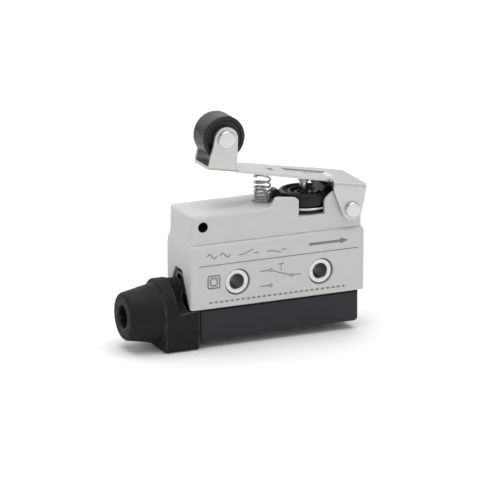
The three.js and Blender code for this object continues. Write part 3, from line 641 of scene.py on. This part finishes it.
def case_bores(lip):
    """The openings that other pieces fit, and the index hole. lip is the round of the visible rims."""
    well = [
        (0, WELL["bottom"]), (WELL["radius"], WELL["bottom"]), (WELL["radius"], CASE_TOP - lip),
        (WELL["radius"] + 0.4 * lip, CASE_TOP - 0.35 * lip), (WELL["radius"] + lip, CASE_TOP),
        (WELL["radius"] + lip, 24.0), (0, 24.0),
    ]
    tools = [turned("well", well, "z", (WELL["x"], MID_Y, 0))]
    guide = [(0, 13.4), (2.75, 13.4), (2.75, 17.7), (0, 17.7)]
    tools.append(turned("guide_bore", guide, "z", (WELL["x"], MID_Y, 0), 64))
    notch = fillet(rectangle(6.15, 14.15, WELL["bottom"], 25.0), 0.12, 3)
    tools.append(plate("notch", notch, "xz", flared(-19.0, FRONT, MID_Y - 3, lip)))
    pocket = fillet(rectangle(15.1, 28.0, 13.4, 25.0), 0.6, 5)
    tools.append(plate("ear_pocket", pocket, "xz", flared(1.0, BACK, -1.9, 0.15)))
    radius = 3.8
    hole = [(0, -18.5), (radius + 0.2, -18.5), (radius + 0.2, -17.5), (radius, -17.3)]
    hole += [(radius, -0.2), (radius + 0.2, 0.0), (radius + 0.2, 1.0), (0, 1.0)]
    for side, x in HOLES.items():
        tools.append(turned("hole_" + side, hole, "y", (x, 0, 0)))
    radius = INDEX_HOLE["radius"]
    index = [(0, -18.0), (1.6, -18.0), (1.6, FRONT), (radius, FRONT + 0.15), (radius, -9.6), (0, -9.3)]
    tools.append(turned("index", index, "y", (INDEX_HOLE["x"], 0, INDEX_HOLE["z"]), 64))
    pin = [(0, -19.0), (1.6, -19.0), (1.6, 1.0), (0, 1.0)]
    tools.append(turned("pin_bore", pin, "y", (HINGE[0], 0, HINGE[1]), 48))
    seat = [(0, RETURN_SPRING["seat"]), (2.7, RETURN_SPRING["seat"]), (2.85, 19.65), (2.85, 19.9)]
    seat += [(3.0, CASE_TOP), (3.0, 21.0), (0, 21.0)]
    tools.append(turned("spring_seat", seat, "z", (RETURN_SPRING["x"], MID_Y, 0), 64))
    arch_right = [(MID_Y + 9.0, -10.0), (MID_Y + 7.75, CASE_BOTTOM), (MID_Y + 2.25, 3.5)]
    arch_left = [(MID_Y - 2.25, 3.5), (MID_Y - 7.75, CASE_BOTTOM)]
    arch = fillet([(MID_Y - 9.0, -10.0), *arch_right, *arch_left], [0, 0, 0, 1.0, 1.0, 0], 6)
    tools.append(plate("arch", arch, "yz", flared(-28.0, CASE_X[0], -24.0, lip)))
    return tools


def in_index_hole(centre):
    """Whether a face lies inside the index hole, past its rim. These faces are painted dark: painted shade in
    the hole.
    """
    near = math.hypot(centre.x - INDEX_HOLE["x"], centre.z - INDEX_HOLE["z"]) < INDEX_HOLE["radius"] + 0.05
    return near and FRONT + 0.2 < centre.y < -9.0


def make_case():
    rings = []
    for height, inset, corner in case_levels():
        outline = rectangle(
            CASE_X[0] + left_inset(height, inset), CASE_X[1] - inset, CASE_Y[0] + inset, CASE_Y[1] - inset
        )
        rings.append(placed(fillet(outline, corner, 6), "xy", height))
    case = make_mesh("limit_switch_case", rings)
    boolean(case, case_additions(), "UNION")
    boolean(case, case_rooms() + case_bores(0.22))
    post = [(0, CASE_BOTTOM), (2.2, CASE_BOTTOM), (2.2, 15.0), (0, 15.0)]
    post = turned("screw_post", post, "z", (SCREW_X, MID_Y, 0), 48)
    bore = [(0, -8), (1.3, -8), (1.3, -1), (0, -1)]
    boolean(post, [turned("post_bore", bore, "z", (SCREW_X, MID_Y, 0), 32)])
    boolean(case, [post], "UNION")
    settle(case, "case", MATERIALS["case"], "case_plastic", "housing")
    # The inside of the index hole takes the dark cover colour: painted shade in the hole.
    tinted(case, MATERIALS["cover"], in_index_hole)


# ------------------------------------------------------------------ terminal cover and its screw

COVER = {"x": (-24.05, 24.8), "y": (-16.8, -0.7), "bottom": -16.2, "top": -7.45, "wall": 1.4}


def cover_outline(inset):
    """The cover's rectangle, smaller by inset on every side."""
    return rectangle(
        COVER["x"][0] + inset, COVER["x"][1] - inset, COVER["y"][0] + inset, COVER["y"][1] - inset
    )


def make_cover():
    edge = 1.15
    levels = []
    for k in range(8):
        angle = QUARTER * k / 7
        inset = edge * (1 - math.sin(angle))
        levels.append((COVER["bottom"] + edge * (1 - math.cos(angle)), inset, max(1.25 - inset, 0.12)))
    levels += [(COVER["top"] - 0.15, 0.0, 1.25), (COVER["top"] - 0.04, 0.04, 1.2), (COVER["top"], 0.15, 1.1)]
    rings = [
        placed(fillet(cover_outline(inset), corner, 6), "xy", height) for height, inset, corner in levels
    ]
    cover = make_mesh("terminal_cover_shell", rings)
    wall = COVER["wall"]
    inside = fillet(cover_outline(wall), 0.6)
    boolean(cover, [plate("inside", inside, "xy", [(COVER["bottom"] + wall, 0), (0, 0)])])
    spigot = fillet(rectangle(-15.6, -1.9, -15.4, COVER["top"]), [0.8, 0.8, 0, 0], 5)
    boss = [(0, -15.7), (3.1, -15.7), (3.1, -7.7), (3.0, -7.6), (0, -7.6)]
    boolean(
        cover,
        [
            plate("spigot", spigot, "yz", [(-27.0, -0.1), (-26.9, 0), (COVER["x"][0] + 0.5, 0)]),
            turned("boss", boss, "z", (SCREW_X, MID_Y, 0), 64),
        ],
        "UNION",
    )
    mouth = fillet(rectangle(-14.2, -3.3, -14.0, 0.0), [0.8, 0.8, 0, 0], 5)
    bore = [(0, -17.2), (2.55, -17.2), (2.55, COVER["bottom"]), (2.4, COVER["bottom"] + 0.15)]
    bore += [(2.4, -14.0), (1.35, -14.0), (1.35, 0), (0, 0)]
    boolean(
        cover,
        [
            plate("mouth", mouth, "yz", [(-28.0, 0), (COVER["x"][0] + wall + 1, 0)]),
            turned("screw_bore", bore, "z", (SCREW_X, MID_Y, 0), 64),
        ],
    )
    settle(cover, "case", MATERIALS["cover"], "cover_plastic", "terminal_cover")


def make_screw(name, node, x, head, shank, low, seat, end, slot_width):
    """A pan-head screw that points up, with a cross recess in its head and a threaded shank. head and shank
    are radii, and low, seat and end are heights."""
    pitch = 0.6
    profile = [(0, low), (head * 0.55, low), (head - 0.35, low + 0.12), (head - 0.08, low + 0.4)]
    profile += [(head, low + 0.75)]
    profile += [(head, seat - 0.08), (head - 0.08, seat), (shank, seat)]
    height = seat + 0.5
    while height + pitch < end - 0.5:
        profile += [(shank - 0.16, height), (shank, height + pitch * 0.4), (shank, height + pitch * 0.55)]
        height += pitch
    profile += [(shank - 0.16, height), (shank - 0.2, end - 0.3), (shank * 0.45, end), (0, end)]
    screw = turned(name, profile, "z", (x, MID_Y, 0), 64)
    reach, half, depth = head * 0.62, slot_width / 2, low + (seat - low) * 0.55
    recess = [(low - 1, 0.1), (low + 0.1, 0.08), (depth, -0.06)]
    along = rectangle(x - reach, x + reach, MID_Y - half, MID_Y + half)
    across = rectangle(x - half, x + half, MID_Y - reach, MID_Y + reach)
    boolean(screw, [plate("slot_a", along, "xy", recess), plate("slot_b", across, "xy", recess)])
    settle(screw, "case", MATERIALS["bright"], "bright_steel", node)


# ------------------------------------------------------------------ cable boot and clamp

BOOT = {"tip": -43.9, "collar": -34.2, "half": 8.5, "arch": -7.4, "bottom": -18.4, "axis": -8.6, "bore": 3.2}
HOLLOW = {"half": 6.6, "plug_half": 3.4, "bottom": -16.2, "corner": 0.9}  # the room for the wires
# Half the top of the part that enters the arch: (distance from the middle, height), from the side up.
PLUG = [
    (8.5, -7.4), (7.6, -6.95), (6.2, -6.55), (5.1, -6.15), (4.3, -5.5), (3.6, -4.6), (3.1, -3.4),
    (2.85, -2.0), (2.5, -0.5), (1.9, 0.3), (1.0, 0.75), (0.0, 0.9),
]


def boot_section(half, bottom, corner, top=None, plug=0.0):
    """A half-round top over a box with rounded lower corners, in the yz plane. A flat top replaces the round
    one at the height top. plug is the share, 0 to 1, by which the round top has narrowed to PLUG."""
    box = rectangle(MID_Y + half, MID_Y - half, BOOT["arch"], bottom)
    corners = fillet([box[0], box[3], box[2], box[1]], [0, corner, corner, 0], 7)
    if top is not None:
        return [(MID_Y + half, top), *corners[1:-1], (MID_Y - half, top)]
    curve = np.array(smooth(PLUG))
    along = np.concatenate(([0.0], np.cumsum(np.linalg.norm(np.diff(curve, axis=0), axis=1))))
    crown = []
    for k, (y, z) in enumerate(arc((MID_Y, BOOT["arch"]), half, math.pi, 0, 56)):
        share = 1 - abs(k - 28) / 28
        offset, low = (float(np.interp(share * along[-1], along, curve[:, i])) for i in (0, 1))
        narrow = MID_Y + math.copysign(offset, y - MID_Y)
        crown.append((y + plug * (narrow - y), z + plug * (low - z)))
    return [*corners[1:-1], *crown]


def make_boot():
    centre = (0, MID_Y, BOOT["axis"])
    outer = (BOOT["half"], BOOT["bottom"], 1.7)
    skirt = boot_section(*outer, -7.05)
    rings = []
    for k in range(4, -1, -1):
        angle = QUARTER * k / 4
        rim = grown(boot_section(*outer), -0.5 * (1 - math.cos(angle)))
        rings.append(placed(rim, "yz", BOOT["collar"] + 0.5 * (1 - math.sin(angle))))
    for k in range(9):
        share = k / 8
        eased = share * share * (3 - 2 * share)
        rings.append(placed(boot_section(*outer, plug=eased), "yz", -31.0 + 1.5 * share))
    rings.append(placed(boot_section(*outer, plug=1.0), "yz", -27.2))
    boot = make_mesh("rubber_cable_boot", rings)
    cone = [(0, BOOT["collar"] + 1), (8.35, BOOT["collar"] + 1), (8.42, BOOT["collar"] - 0.3)]
    cone += [(6.62, BOOT["tip"]), (0, BOOT["tip"])]
    cone = fillet(cone, [0, 0, 0.9, 1.15, 0], 8, closed=False)
    boolean(
        boot,
        [
            turned("cone", cone, "x", centre, 128),
            plate("skirt", skirt, "yz", [(-28.2, 0), (-24.35, 0), (-24.2, -0.06), (-24.15, -0.2)]),
        ],
        "UNION",
    )
    mouth = BOOT["bore"] + 0.45
    bore = [(0, -45.0), (mouth, -45.0), (mouth, BOOT["tip"]), (BOOT["bore"], BOOT["tip"] + 0.45)]
    bore += [(BOOT["bore"], -35.2), (0, -35.2)]
    bore = fillet(bore, [0, 0, 0.1, 0.5, 0, 0], 5, closed=False)
    throat = [(0, -36.2), (5.4, -36.2), (5.4, -32.0), (0, -32.0)]
    slit = rectangle(MID_Y + 2.6, MID_Y + 8.5, BOOT["axis"] - 1.25, BOOT["axis"] - 0.85)
    hollow = boot_section(HOLLOW["half"], HOLLOW["bottom"], HOLLOW["corner"])
    plug_room = boot_section(HOLLOW["plug_half"], HOLLOW["bottom"], HOLLOW["corner"])
    spigot_room = fillet(rectangle(-15.9, -1.6, -15.7, 2.0), [0.8, 0.8, 0, 0], 5)
    boolean(
        boot,
        [
            turned("bore", bore, "x", centre, 96),
            turned("throat", throat, "x", centre, 96),
            plate("slit", slit, "yz", [(-45, 0), (-43.1, 0)]),
            plate("hollow", hollow, "yz", [(-33.0, 0), (-31.4, 0)]),
            plate("plug_room", plug_room, "yz", [(-32.2, 0), (-26.7, 0)]),
            plate("spigot_room", spigot_room, "yz", [(-27.25, 0), (-23.0, 0)]),
        ],
    )
    settle(boot, "case", MATERIALS["rubber"], "black_rubber", "cable_boot", angle=32)


def make_grommet():
    outside = [(5.1, -35.9), (5.1, -35.1), (4.8, -34.9), (4.8, -34.3), (5.1, -34.1), (5.1, -33.3)]
    profile = fillet(
        [(3.3, -35.9), *outside, (3.3, -33.3)], [0.25, 0.3, 0.1, 0.1, 0.1, 0.1, 0.3, 0.25], 4
    )
    grommet = turned("cord_grommet", profile, "x", (0, MID_Y, BOOT["axis"]), 96, wrap=True)
    settle(grommet, "case", MATERIALS["rubber"], "black_rubber", "cable_grommet")


def make_clamp():
    """A bridge of bent sheet, with its feet on the block and its crown in the arch."""
    foot, crown, sheet = -5.5, 2.4, 0.7
    left = [(MID_Y - 5.8, foot), (MID_Y - 1.45, crown - sheet / 2)]
    right = [(MID_Y + 1.45, crown - sheet / 2), (MID_Y + 5.8, foot)]
    line = fillet([*left, *right], [0, 0.9, 0.9, 0], 6, closed=False)
    clamp = plate("cord_clamp_bridge", ribbon(line, sheet), "yz", rounded_rim(-26.6, -25.2, 0.1, 3))
    settle(clamp, "case", MATERIALS["dull"], "lever_steel", "cord_clamp")


# ------------------------------------------------------------------ sleeves and pins


def make_sleeve(side, x):
    profile = fillet(
        [(2.15, -16.7), (3.5, -16.7), (3.5, -0.8), (2.15, -0.8)], [0.3, 0.22, 0.22, 0.3], 5
    )
    sleeve = turned("mounting_bush_" + side, profile, "y", (x, 0, 0), 96, wrap=True)
    settle(sleeve, "case", MATERIALS["bright"], "bright_steel", "mounting_sleeve_" + side)
    # The bore takes the darker steel: painted shade inside the hole.
    tinted(sleeve, MATERIALS["bore"], lambda c: math.hypot(c.x - x, c.z) < 2.2)


def make_pin(name, node, centre, shank, head, front, back, body):
    """A pin along Y: a chamfered head in front, a riveted tail behind. shank and head are radii, and front
    and back are (outer face, seat)."""
    profile = [(0, front[0]), (head - 0.22, front[0]), (head, front[0] + 0.22), (head, front[1])]
    profile += [(shank, front[1]), (shank, back[1]), (head - 0.15, back[1]), (head - 0.3, back[0] - 0.1)]
    profile += [(shank * 0.7, back[0]), (0, back[0] - 0.15)]
    profile = fillet(profile, [0, 0.12, 0.12, 0.06, 0, 0, 0.06, 0.2, 0.3, 0], 4, closed=False)
    pin = turned(name, profile, "y", centre, 96)
    if body != "case":
        pin.data.transform(LEVER_PLACE)
    settle(pin, body, MATERIALS["bright"], "bright_steel", node)


# ------------------------------------------------------------------ lever

# The lever is drawn level, with its hinge at the origin, and then placed.
LEVER_PLACE = Matrix.Translation(Vector((HINGE[0], MID_Y, HINGE[1])) * MM) @ Matrix.Rotation(
    math.radians(10.76), 4, "Y"
)
SHEET = 0.8
UNDERSIDE = 6.77
TOP = UNDERSIDE + SHEET
STRIP_DROP = 0.4
YOKE = (-43.9, -35.1)
DIMPLE = {"x": -11.6, "y": 0.9, "pitch": 1.15, "count": 3, "radius": 0.44}
ROLLER = {"x": -40.14, "z": 15.79, "radius": 6.25, "half": 3.75, "bush": 2.0}
ROLLER_CENTRE = (ROLLER["x"], 0, ROLLER["z"])


def channel(left, right, floor, wall_end, bend):
    """The section of a bent sheet: a floor with a wall at each side."""
    up = math.copysign(1, wall_end - floor)
    points = rectangle(left, right, floor, wall_end)
    inner = floor + up * SHEET
    outline = [
        points[3], points[0], points[1], points[2],
        (right - SHEET, wall_end), (right - SHEET, inner), (left + SHEET, inner), (left + SHEET, wall_end),
    ]
    tight = bend - SHEET + 0.15
    return fillet(outline, [0, bend, bend, 0, 0, tight, tight, 0], 8)


def tangent_angle(point, centre, radius, side):
    """The angle at which the line from point touches a circle."""
    x, y = point[0] - centre[0], point[1] - centre[1]
    return math.atan2(y, x) + side * math.acos(radius / math.hypot(x, y))


def eared(name, section, span, outline):
    """A bent sheet along X whose walls are trimmed to an outline seen from the side."""
    reach = 12
    sheet = plate(name, section, "yz", [(end, 0) for end in span])
    boolean(sheet, [plate("ears", outline, "xz", [(-reach, 0), (reach, 0)])], "INTERSECT")
    return sheet


def hinge_end():
    ear_radius = 3.05
    low_left, low_right = (-6.75, 4.9), (3.2, 2.6)
    start = tangent_angle(low_left, (0, 0), ear_radius, 1)
    end = tangent_angle(low_right, (0, 0), ear_radius, -1) + 2 * math.pi
    ear = [(3.2, 9.0), (-6.8, 9.0), (-6.8, 7.0), low_left]
    ear += [*arc((0, 0), ear_radius, start, end, 40), low_right]
    radii = [0, 0, 0.6, 2.4, *[0] * 41, 1.5]
    section = channel(-9.25, 8.05, TOP, -4.0, 1.25)
    return eared("lever_arm_plate", section, (-7.0, 3.2), fillet(ear, radii, 6))


def yoke():
    centre, top_radius = (ROLLER["x"], ROLLER["z"]), 3.45
    right_foot, left_foot = (YOKE[1], 6.2), (YOKE[0], 6.2)
    first = tangent_angle(right_foot, centre, top_radius, 1)
    last = tangent_angle(left_foot, centre, top_radius, -1) + 2 * math.pi
    ears = [right_foot, *arc(centre, top_radius, first, last, 40), left_foot]
    return eared("yoke", channel(-5.15, 5.15, UNDERSIDE, 21.0, 1.3), YOKE, ears)


def lever_cuts():
    """The window over the strip, the slot behind the tab, and the relief at the foot of each ear."""
    window = fillet(rectangle(-18.3, -4.2, -3.1, 3.1), 0.35, 4)
    slot = fillet(rectangle(-24.1, -22.0, -1.2, 1.2), 0.2, 3)
    tools = [
        plate("window", window, "xy", [(4, 0), (9, 0)]),
        plate("slot", slot, "xy", [(4, 0), (9, 0)]),
    ]
    relief = [(0, 4.0), (0.55, 4.0), (0.55, 9.0), (0, 9.0)]
    for side in (-1, 1):
        tools.append(turned("relief", relief, "z", (-6.95, side * 6.75, 0), 32))
    return tools


def strip_and_tab():
    """The pressed strip that meets the plunger, and the tab that holds the return spring."""
    top = [(-18.5, TOP), (-17.0, TOP - STRIP_DROP), (-5.5, TOP - STRIP_DROP), (-4.0, TOP)]
    under = [(x, z - SHEET) for x, z in reversed(top)]
    strip = fillet([*top, *under], [0, 1.4, 1.4, 0, 0, 1.0, 1.0, 0], 5)
    tab = fillet(rectangle(-24.9, -24.1, 5.17, TOP - 0.15), [0.25, 0.25, 0.1, 0.1], 4)
    return [
        plate("strip", strip, "xz", [(-2.7, 0), (2.7, 0)]),
        plate("tab", tab, "xz", [(-1.0, 0), (1.0, 0)]),
    ]


def lever_bores():
    """The holes for the two pins, and the dimples in the strip."""
    hinge = [(0, -12), (1.62, -12), (1.62, 12), (0, 12)]
    pin = [(0, -7), (1.37, -7), (1.37, 7), (0, 7)]
    tools = [
        turned("hinge_bore", hinge, "y", (0, 0, 0), 48),
        turned("pin_bore", pin, "y", ROLLER_CENTRE, 48),
    ]
    face, radius = TOP - STRIP_DROP, DIMPLE["radius"]
    dimple = [(0, face - 0.3), (0.3, face - 0.25), (radius - 0.02, face + 0.02), (radius, TOP), (0, TOP)]
    for k in range(DIMPLE["count"]):
        place = (DIMPLE["x"] + DIMPLE["pitch"] * k, DIMPLE["y"], 0)
        tools.append(turned("dimple", dimple, "z", place, 20))
    return tools


def in_dimple(centre):
    """Whether a face of the placed lever lies in one of the dimples. These faces are painted darker: painted
    shade in the hollows.
    """
    x, y, z = (LEVER_PLACE.inverted() @ (centre * MM)) / MM
    near = min(
        math.hypot(x - DIMPLE["x"] - DIMPLE["pitch"] * k, y - DIMPLE["y"]) for k in range(DIMPLE["count"])
    )
    return near < DIMPLE["radius"] and UNDERSIDE - STRIP_DROP + 0.3 < z < TOP - STRIP_DROP - 0.005


def make_lever():
    lever = hinge_end()
    arm = fillet(
        [(-6.5, -6.5), (-6.5, 6.5), (-35.05, 5.15), (-35.6, 3.85), (-35.6, -3.85), (-35.05, -5.15)],
        [0, 0, 0.3, 0, 0, 0.3], 4,
    )
    boolean(lever, [yoke(), plate("arm", arm, "xy", [(UNDERSIDE, 0), (TOP, 0)])], "UNION")
    boolean(lever, lever_cuts())
    boolean(lever, strip_and_tab(), "UNION")
    boolean(lever, lever_bores())
    lever.data.transform(LEVER_PLACE)
    settle(lever, "lever_arm", MATERIALS["steel"], "lever_steel", "lever", bevel=0.07, angle=42)
    # The dimples take the darker dull steel: painted shade in the shallow hollows.
    tinted(lever, MATERIALS["dull"], in_dimple)


def make_roller():
    half, radius, bush = ROLLER["half"], ROLLER["radius"], ROLLER["bush"] + 0.08
    side = [(bush, half - 0.05), (bush + 0.9, half - 0.05), (bush + 1.15, half - 0.35)]
    side += [(radius - 1.35, half - 0.35), (radius - 1.1, half), (radius - 0.32, half), (radius, half - 0.32)]
    radii = [0.08, 0.2, 0.25, 0.2, 0.12, 0.25, 0.25]
    mirrored = [(r, -y) for r, y in reversed(side)]
    profile = fillet([*side, *mirrored], radii + radii[::-1], 4)
    roller = turned("lever_roller", profile, "y", ROLLER_CENTRE, 128, wrap=True)
    roller.data.transform(LEVER_PLACE)
    settle(roller, "roller_wheel", MATERIALS["roller"], "roller_plastic", "roller")
    profile = fillet(rectangle(1.37, ROLLER["bush"], -4.1, 4.1), 0.15, 4)
    bush_piece = turned("roller_bearing_bush", profile, "y", ROLLER_CENTRE, 96, wrap=True)
    bush_piece.data.transform(LEVER_PLACE)
    settle(bush_piece, "roller_wheel", MATERIALS["brass"], "contact_brass", "roller_bush")


# ------------------------------------------------------------------ seal, plunger and springs


def make_seal():
    folds = smooth(
        [
            (7.18, 19.4), (7.2, 20.4), (7.1, 21.35), (6.75, 21.85), (6.15, 21.95), (5.7, 21.55),
            (5.3, 21.05), (4.85, 21.05), (4.45, 21.6), (4.05, 21.66), (3.65, 21.15), (3.25, 20.7),
            (2.85, 20.7), (2.5, 21.15), (2.1, 21.22), (1.75, 20.95), (1.47, 20.5),
        ],
        4,
    )
    inside = [(1.47, 19.3), (5.8, 19.3), (5.8, 16.8), (6.6, 16.8), (6.6, 18.4), (6.75, 18.55)]
    inside += [(7.05, 18.6), (7.18, 18.8)]
    seal = turned("plunger_seal_boot", [*folds, *inside], "z", (WELL["x"], MID_Y, 0), 128, wrap=True)
    lug = fillet(
        [(1.25, 20.2), (5.6, 20.2), (5.6, 21.35), (3.7, 21.75), (2.95, 23.15), (1.25, 23.15)],
        [0.2, 0, 0, 1.2, 0.8, 0.8], 6,
    )
    stop = fillet(
        [(15.2, 20.2), (18.5, 20.2), (18.5, 23.3), (16.4, 23.3), (15.2, 21.4)],
        [0.2, 0.2, 0.8, 0.9, 0.9], 6,
    )
    boolean(
        seal,
        [
            plate("lug", lug, "xz", rounded_rim(MID_Y - 1.7, MID_Y + 1.7, 0.45, 5)),
            plate("stop", stop, "xz", rounded_rim(MID_Y - 3.5, MID_Y + 3.5, 0.45, 5)),
        ],
        "UNION",
    )
    settle(seal, "case", MATERIALS["seal"], "black_rubber", "plunger_seal", angle=50)


def make_retaining_ring():
    """A wire ring, open at the front, with an eye at one end."""
    centre = Vector((WELL["x"], MID_Y, 17.83))
    path = []
    for k in range(145):
        angle = math.radians(24 - 336 * k / 144)
        path.append((centre.x + 7.02 * math.sin(angle), centre.y - 7.02 * math.cos(angle), centre.z))
    ring = wire("seal_clip", path, 0.34, 14)
    eye_angle = math.radians(21)
    eye = fillet([(0.14, -0.27), (0.43, -0.27), (0.43, 0.27), (0.14, 0.27)], 0.1, 3)
    place = (centre.x + 7.04 * math.sin(eye_angle), centre.y - 7.04 * math.cos(eye_angle), centre.z)
    boolean(ring, [turned("eye", eye, "z", place, 40, wrap=True)], "UNION")
    settle(ring, "case", MATERIALS["bright"], "bright_steel", "seal_retaining_ring", angle=60)


def make_plunger():
    profile = fillet(
        [
            (0, 13.05), (2.2, 13.05), (2.2, 13.6), (1.15, 13.6), (1.15, 24.2), (1.6, 24.35),
            (1.6, 24.75), (1.15, 24.87), (1.15, 25.05), (0.8, 25.25), (0, 25.35),
        ],
        [0, 0.15, 0.12, 0.1, 0.15, 0.12, 0.12, 0.05, 0.1, 0.4, 0], 5, closed=False,
    )
    plunger = turned("push_plunger", profile, "z", (WELL["x"], MID_Y, 0), 64)
    settle(plunger, "plunger_rod", MATERIALS["bright"], "bright_steel", "plunger")
    guide = fillet(
        [(1.3, 13.9), (2.6, 13.9), (2.6, 16.35), (3.4, 16.35), (3.4, 16.95), (1.6, 16.95), (1.3, 16.65)],
        [0.1, 0.1, 0.05, 0.1, 0.12, 0.1, 0.1], 4,
    )
    sleeve = turned("plunger_guide_bush", guide, "z", (WELL["x"], MID_Y, 0), 64, wrap=True)
    settle(sleeve, "case", MATERIALS["brass"], "contact_brass", "plunger_guide")


def coil(name, x, radius, thickness, turns, height_at, start=0.0, tail=0.0):
    """A coiled wire whose height follows height_at, with an optional straight tail at its lower end."""
    path = []
    count = int(turns * 36)
    for k in range(count + 1):
        angle = start + 2 * math.pi * turns * k / count
        path.append((x + radius * math.cos(angle), MID_Y + radius * math.sin(angle), height_at(k / count)))
    if tail:
        first = np.array(path[0])
        ahead = np.array((math.sin(start), -math.cos(start), 0.0))
        path = [tuple(first + ahead * tail * (4 - k) / 4) for k in range(4)] + path
    return wire(name, path, thickness)


def make_springs():
    def rise(share):
        return 19.82 + 7.45 * (0.56 * share + 0.44 * share**3)

    spring = coil(
        "lever_return_spring", RETURN_SPRING["x"], RETURN_SPRING["radius"], 0.29, 7.0, rise,
        start=math.radians(200), tail=1.0,
    )
    settle(spring, "case", MATERIALS["spring"], "spring_steel", "return_spring", angle=70)
    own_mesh(spring)
    inner = coil("plunger_bias_spring", WELL["x"], 1.7, 0.2, 4.0, lambda share: 10.45 + 2.35 * share)
    settle(inner, "plunger_rod", MATERIALS["spring"], "spring_steel", "plunger_spring", angle=70)
    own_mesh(inner)


# ------------------------------------------------------------------ printed marks

INK = [(CASE_Y[0] - 0.03, 0), (CASE_Y[0] + 0.02, 0)]  # just through the front of the band


def stroke(name, points, width):
    """One printed line on the front of the band."""
    return plate(name, ribbon([np.array(p, float) for p in points], width), "xz", INK)


def printed_ring(x, z, radius, width):
    profile = [(radius, -0.03), (radius + width, -0.03), (radius + width, 0.02), (radius, 0.02)]
    return turned("ring", profile, "y", (x, CASE_Y[0], z), 32, wrap=True)


def make_print():
    thin, bold = 0.26, 0.42
    marks = [stroke("rule", [(-24.4, 5.72), (24.0, 5.72)], 0.24)]
    for k in range(26):
        left = -21.4 + 1.62 * k
        marks.append(stroke("dash", [(left, -5.0), (left + 0.95, -5.0)], 0.5))
    # changeover contact: common on the right, two fixed contacts on the left
    for z in (2.3, -2.1):
        marks.append(stroke("lead", [(-6.2, z), (-3.2, z)], thin))
        marks.append(printed_ring(-2.75, z, 0.27, thin))
    marks.append(stroke("lead", [(3.9, 0.1), (6.4, 0.1)], thin))
    marks.append(printed_ring(3.45, 0.1, 0.27, thin))
    marks.append(stroke("blade", [(3.0, 0.25), (-2.25, 2.0)], thin))
    marks.append(stroke("push", [(0.4, 1.75), (0.4, 3.6)], 0.2))
    marks.append(stroke("push_bar", [(-0.5, 3.75), (1.3, 3.75)], thin))
    # two nested squares at the left
    x, z = -20.0, 0.9
    for half in (1.75, 1.0):
        low, high = z - half, z + half
        for level in (high, low):
            marks.append(stroke("side", [(x - half, level), (x + half, level)], bold))
        for place in (x - half, x + half):
            marks.append(stroke("side", [(place, low + 0.21), (place, high - 0.21)], bold))
    # upper row: alternating-current waves, a make contact, a break contact and an arrow
    for x in (-20.6, -16.6):
        wave = [(x + 3.0 * k / 24 - 1.5, 8.3 + 0.62 * math.sin(2 * math.pi * k / 24)) for k in range(25)]
        marks.append(stroke("wave", wave, 0.32))
    for x, tilt in ((-9.5, 1.15), (-1.0, -0.75)):
        marks.append(stroke("lead", [(x - 3.0, 7.9), (x - 1.5, 7.9)], thin))
        marks.append(stroke("lead", [(x + 1.5, 7.9), (x + 3.0, 7.9)], thin))
        marks.append(stroke("arm", [(x - 1.4, 7.9), (x + 1.35, 7.9 + tilt)], thin))
    marks.append(stroke("shaft", [(9.0, 8.3), (18.6, 8.3)], 0.75))
    marks.append(plate("arrow", [(18.6, 7.35), (18.6, 9.25), (20.9, 8.3)], "xz", INK))
    shape = bmesh.new()
    for mark in marks:
        shape.from_mesh(mark.data)
        bpy.data.objects.remove(mark)
    settle(object_from("printed_marks", shape), "case", MATERIALS["ink"], "case_plastic")


# ------------------------------------------------------------------ pieces inside the case


def refined(node, material, slot, bevel):
    """A copy of an inner CAD node with clean faces and softened edges, which stands for it."""
    source = frame["nodes"][node]
    shape = bmesh.new()
    shape.from_mesh(source.data)
    bmesh.ops.remove_doubles(shape, verts=shape.verts, dist=0.002 * MM)
    bmesh.ops.dissolve_limit(shape, angle_limit=math.radians(1.0), verts=shape.verts, edges=shape.edges)
    piece = object_from(node + "_fine", shape)
    return settle(piece, source["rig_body"], MATERIALS[material], slot, node, bevel=bevel)


INNER = {
    "cover_gasket": ("seal", "black_rubber", 0.1),
    "switch_base": ("phenolic", "block_moulding", 0.15),
    "switch_cap": ("phenolic", "block_moulding", 0.15),
    "switch_button": ("acetal", "white_acetal", 0.08),
    "common_terminal": ("brass", "contact_brass", 0.06),
    "normally_open_terminal": ("brass", "contact_brass", 0.06),
    "normally_closed_terminal": ("brass", "contact_brass", 0.06),
    "contact_open": ("silver", "contact_silver", 0.06),
    "contact_closed": ("silver", "contact_silver", 0.06),
    "moving_blade": ("brass", "contact_brass", 0.04),
    "moving_contact": ("silver", "contact_silver", 0.05),
    "snap_spring": ("brass", "contact_brass", 0.03),
}

# ------------------------------------------------------------------ the scene

make_camera()
make_studio()
ground = BOOT["bottom"]  # the lowest point of the switch
floor = plate("floor", rectangle(-4000, 4000, -4000, 4000), "xy", [(ground - 2, 0), (ground, 0)])
floor.data.materials.append(
    make_material(
        "floor_paper", srgb(243, 243, 243), srgb(246, 246, 246), (0.85, 0.95), bumps=(), mottle=(6, 60)
    )
)
make_case()
make_cover()
make_screw(
    "cover_fixing_screw", "cover_screw", SCREW_X,
    head=2.1, shank=1.1, low=-15.9, seat=-14.2, end=-1.6, slot_width=0.6,
)
for which, x in (("closed", -14.2), ("open", -0.6), ("common", 14.2)):
    make_screw(
        "wire_screw_" + which, "terminal_screw_" + which, x,
        head=2.8, shank=1.4, low=-10.7, seat=-8.75, end=-5.2, slot_width=0.7,
    )
make_boot()
make_grommet()
make_clamp()
for side, x in HOLES.items():
    make_sleeve(side, x)
make_pin(
    "hinge_pin_headed", "hinge_pin", (HINGE[0], 0, HINGE[1]),
    shank=1.5, head=2.15, front=(-19.0, -18.05), back=(-0.1, -0.65), body="case",
)
make_pin(
    "roller_pin_headed", "roller_pin", ROLLER_CENTRE,
    shank=1.25, head=2.5, front=(-6.0, -5.2), back=(5.8, 5.2), body="lever_arm",
)
make_lever()
make_roller()
make_seal()
make_retaining_ring()
make_plunger()
make_springs()
make_print()
inner = {node: refined(node, *finish) for node, finish in INNER.items()}
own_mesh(inner["snap_spring"])
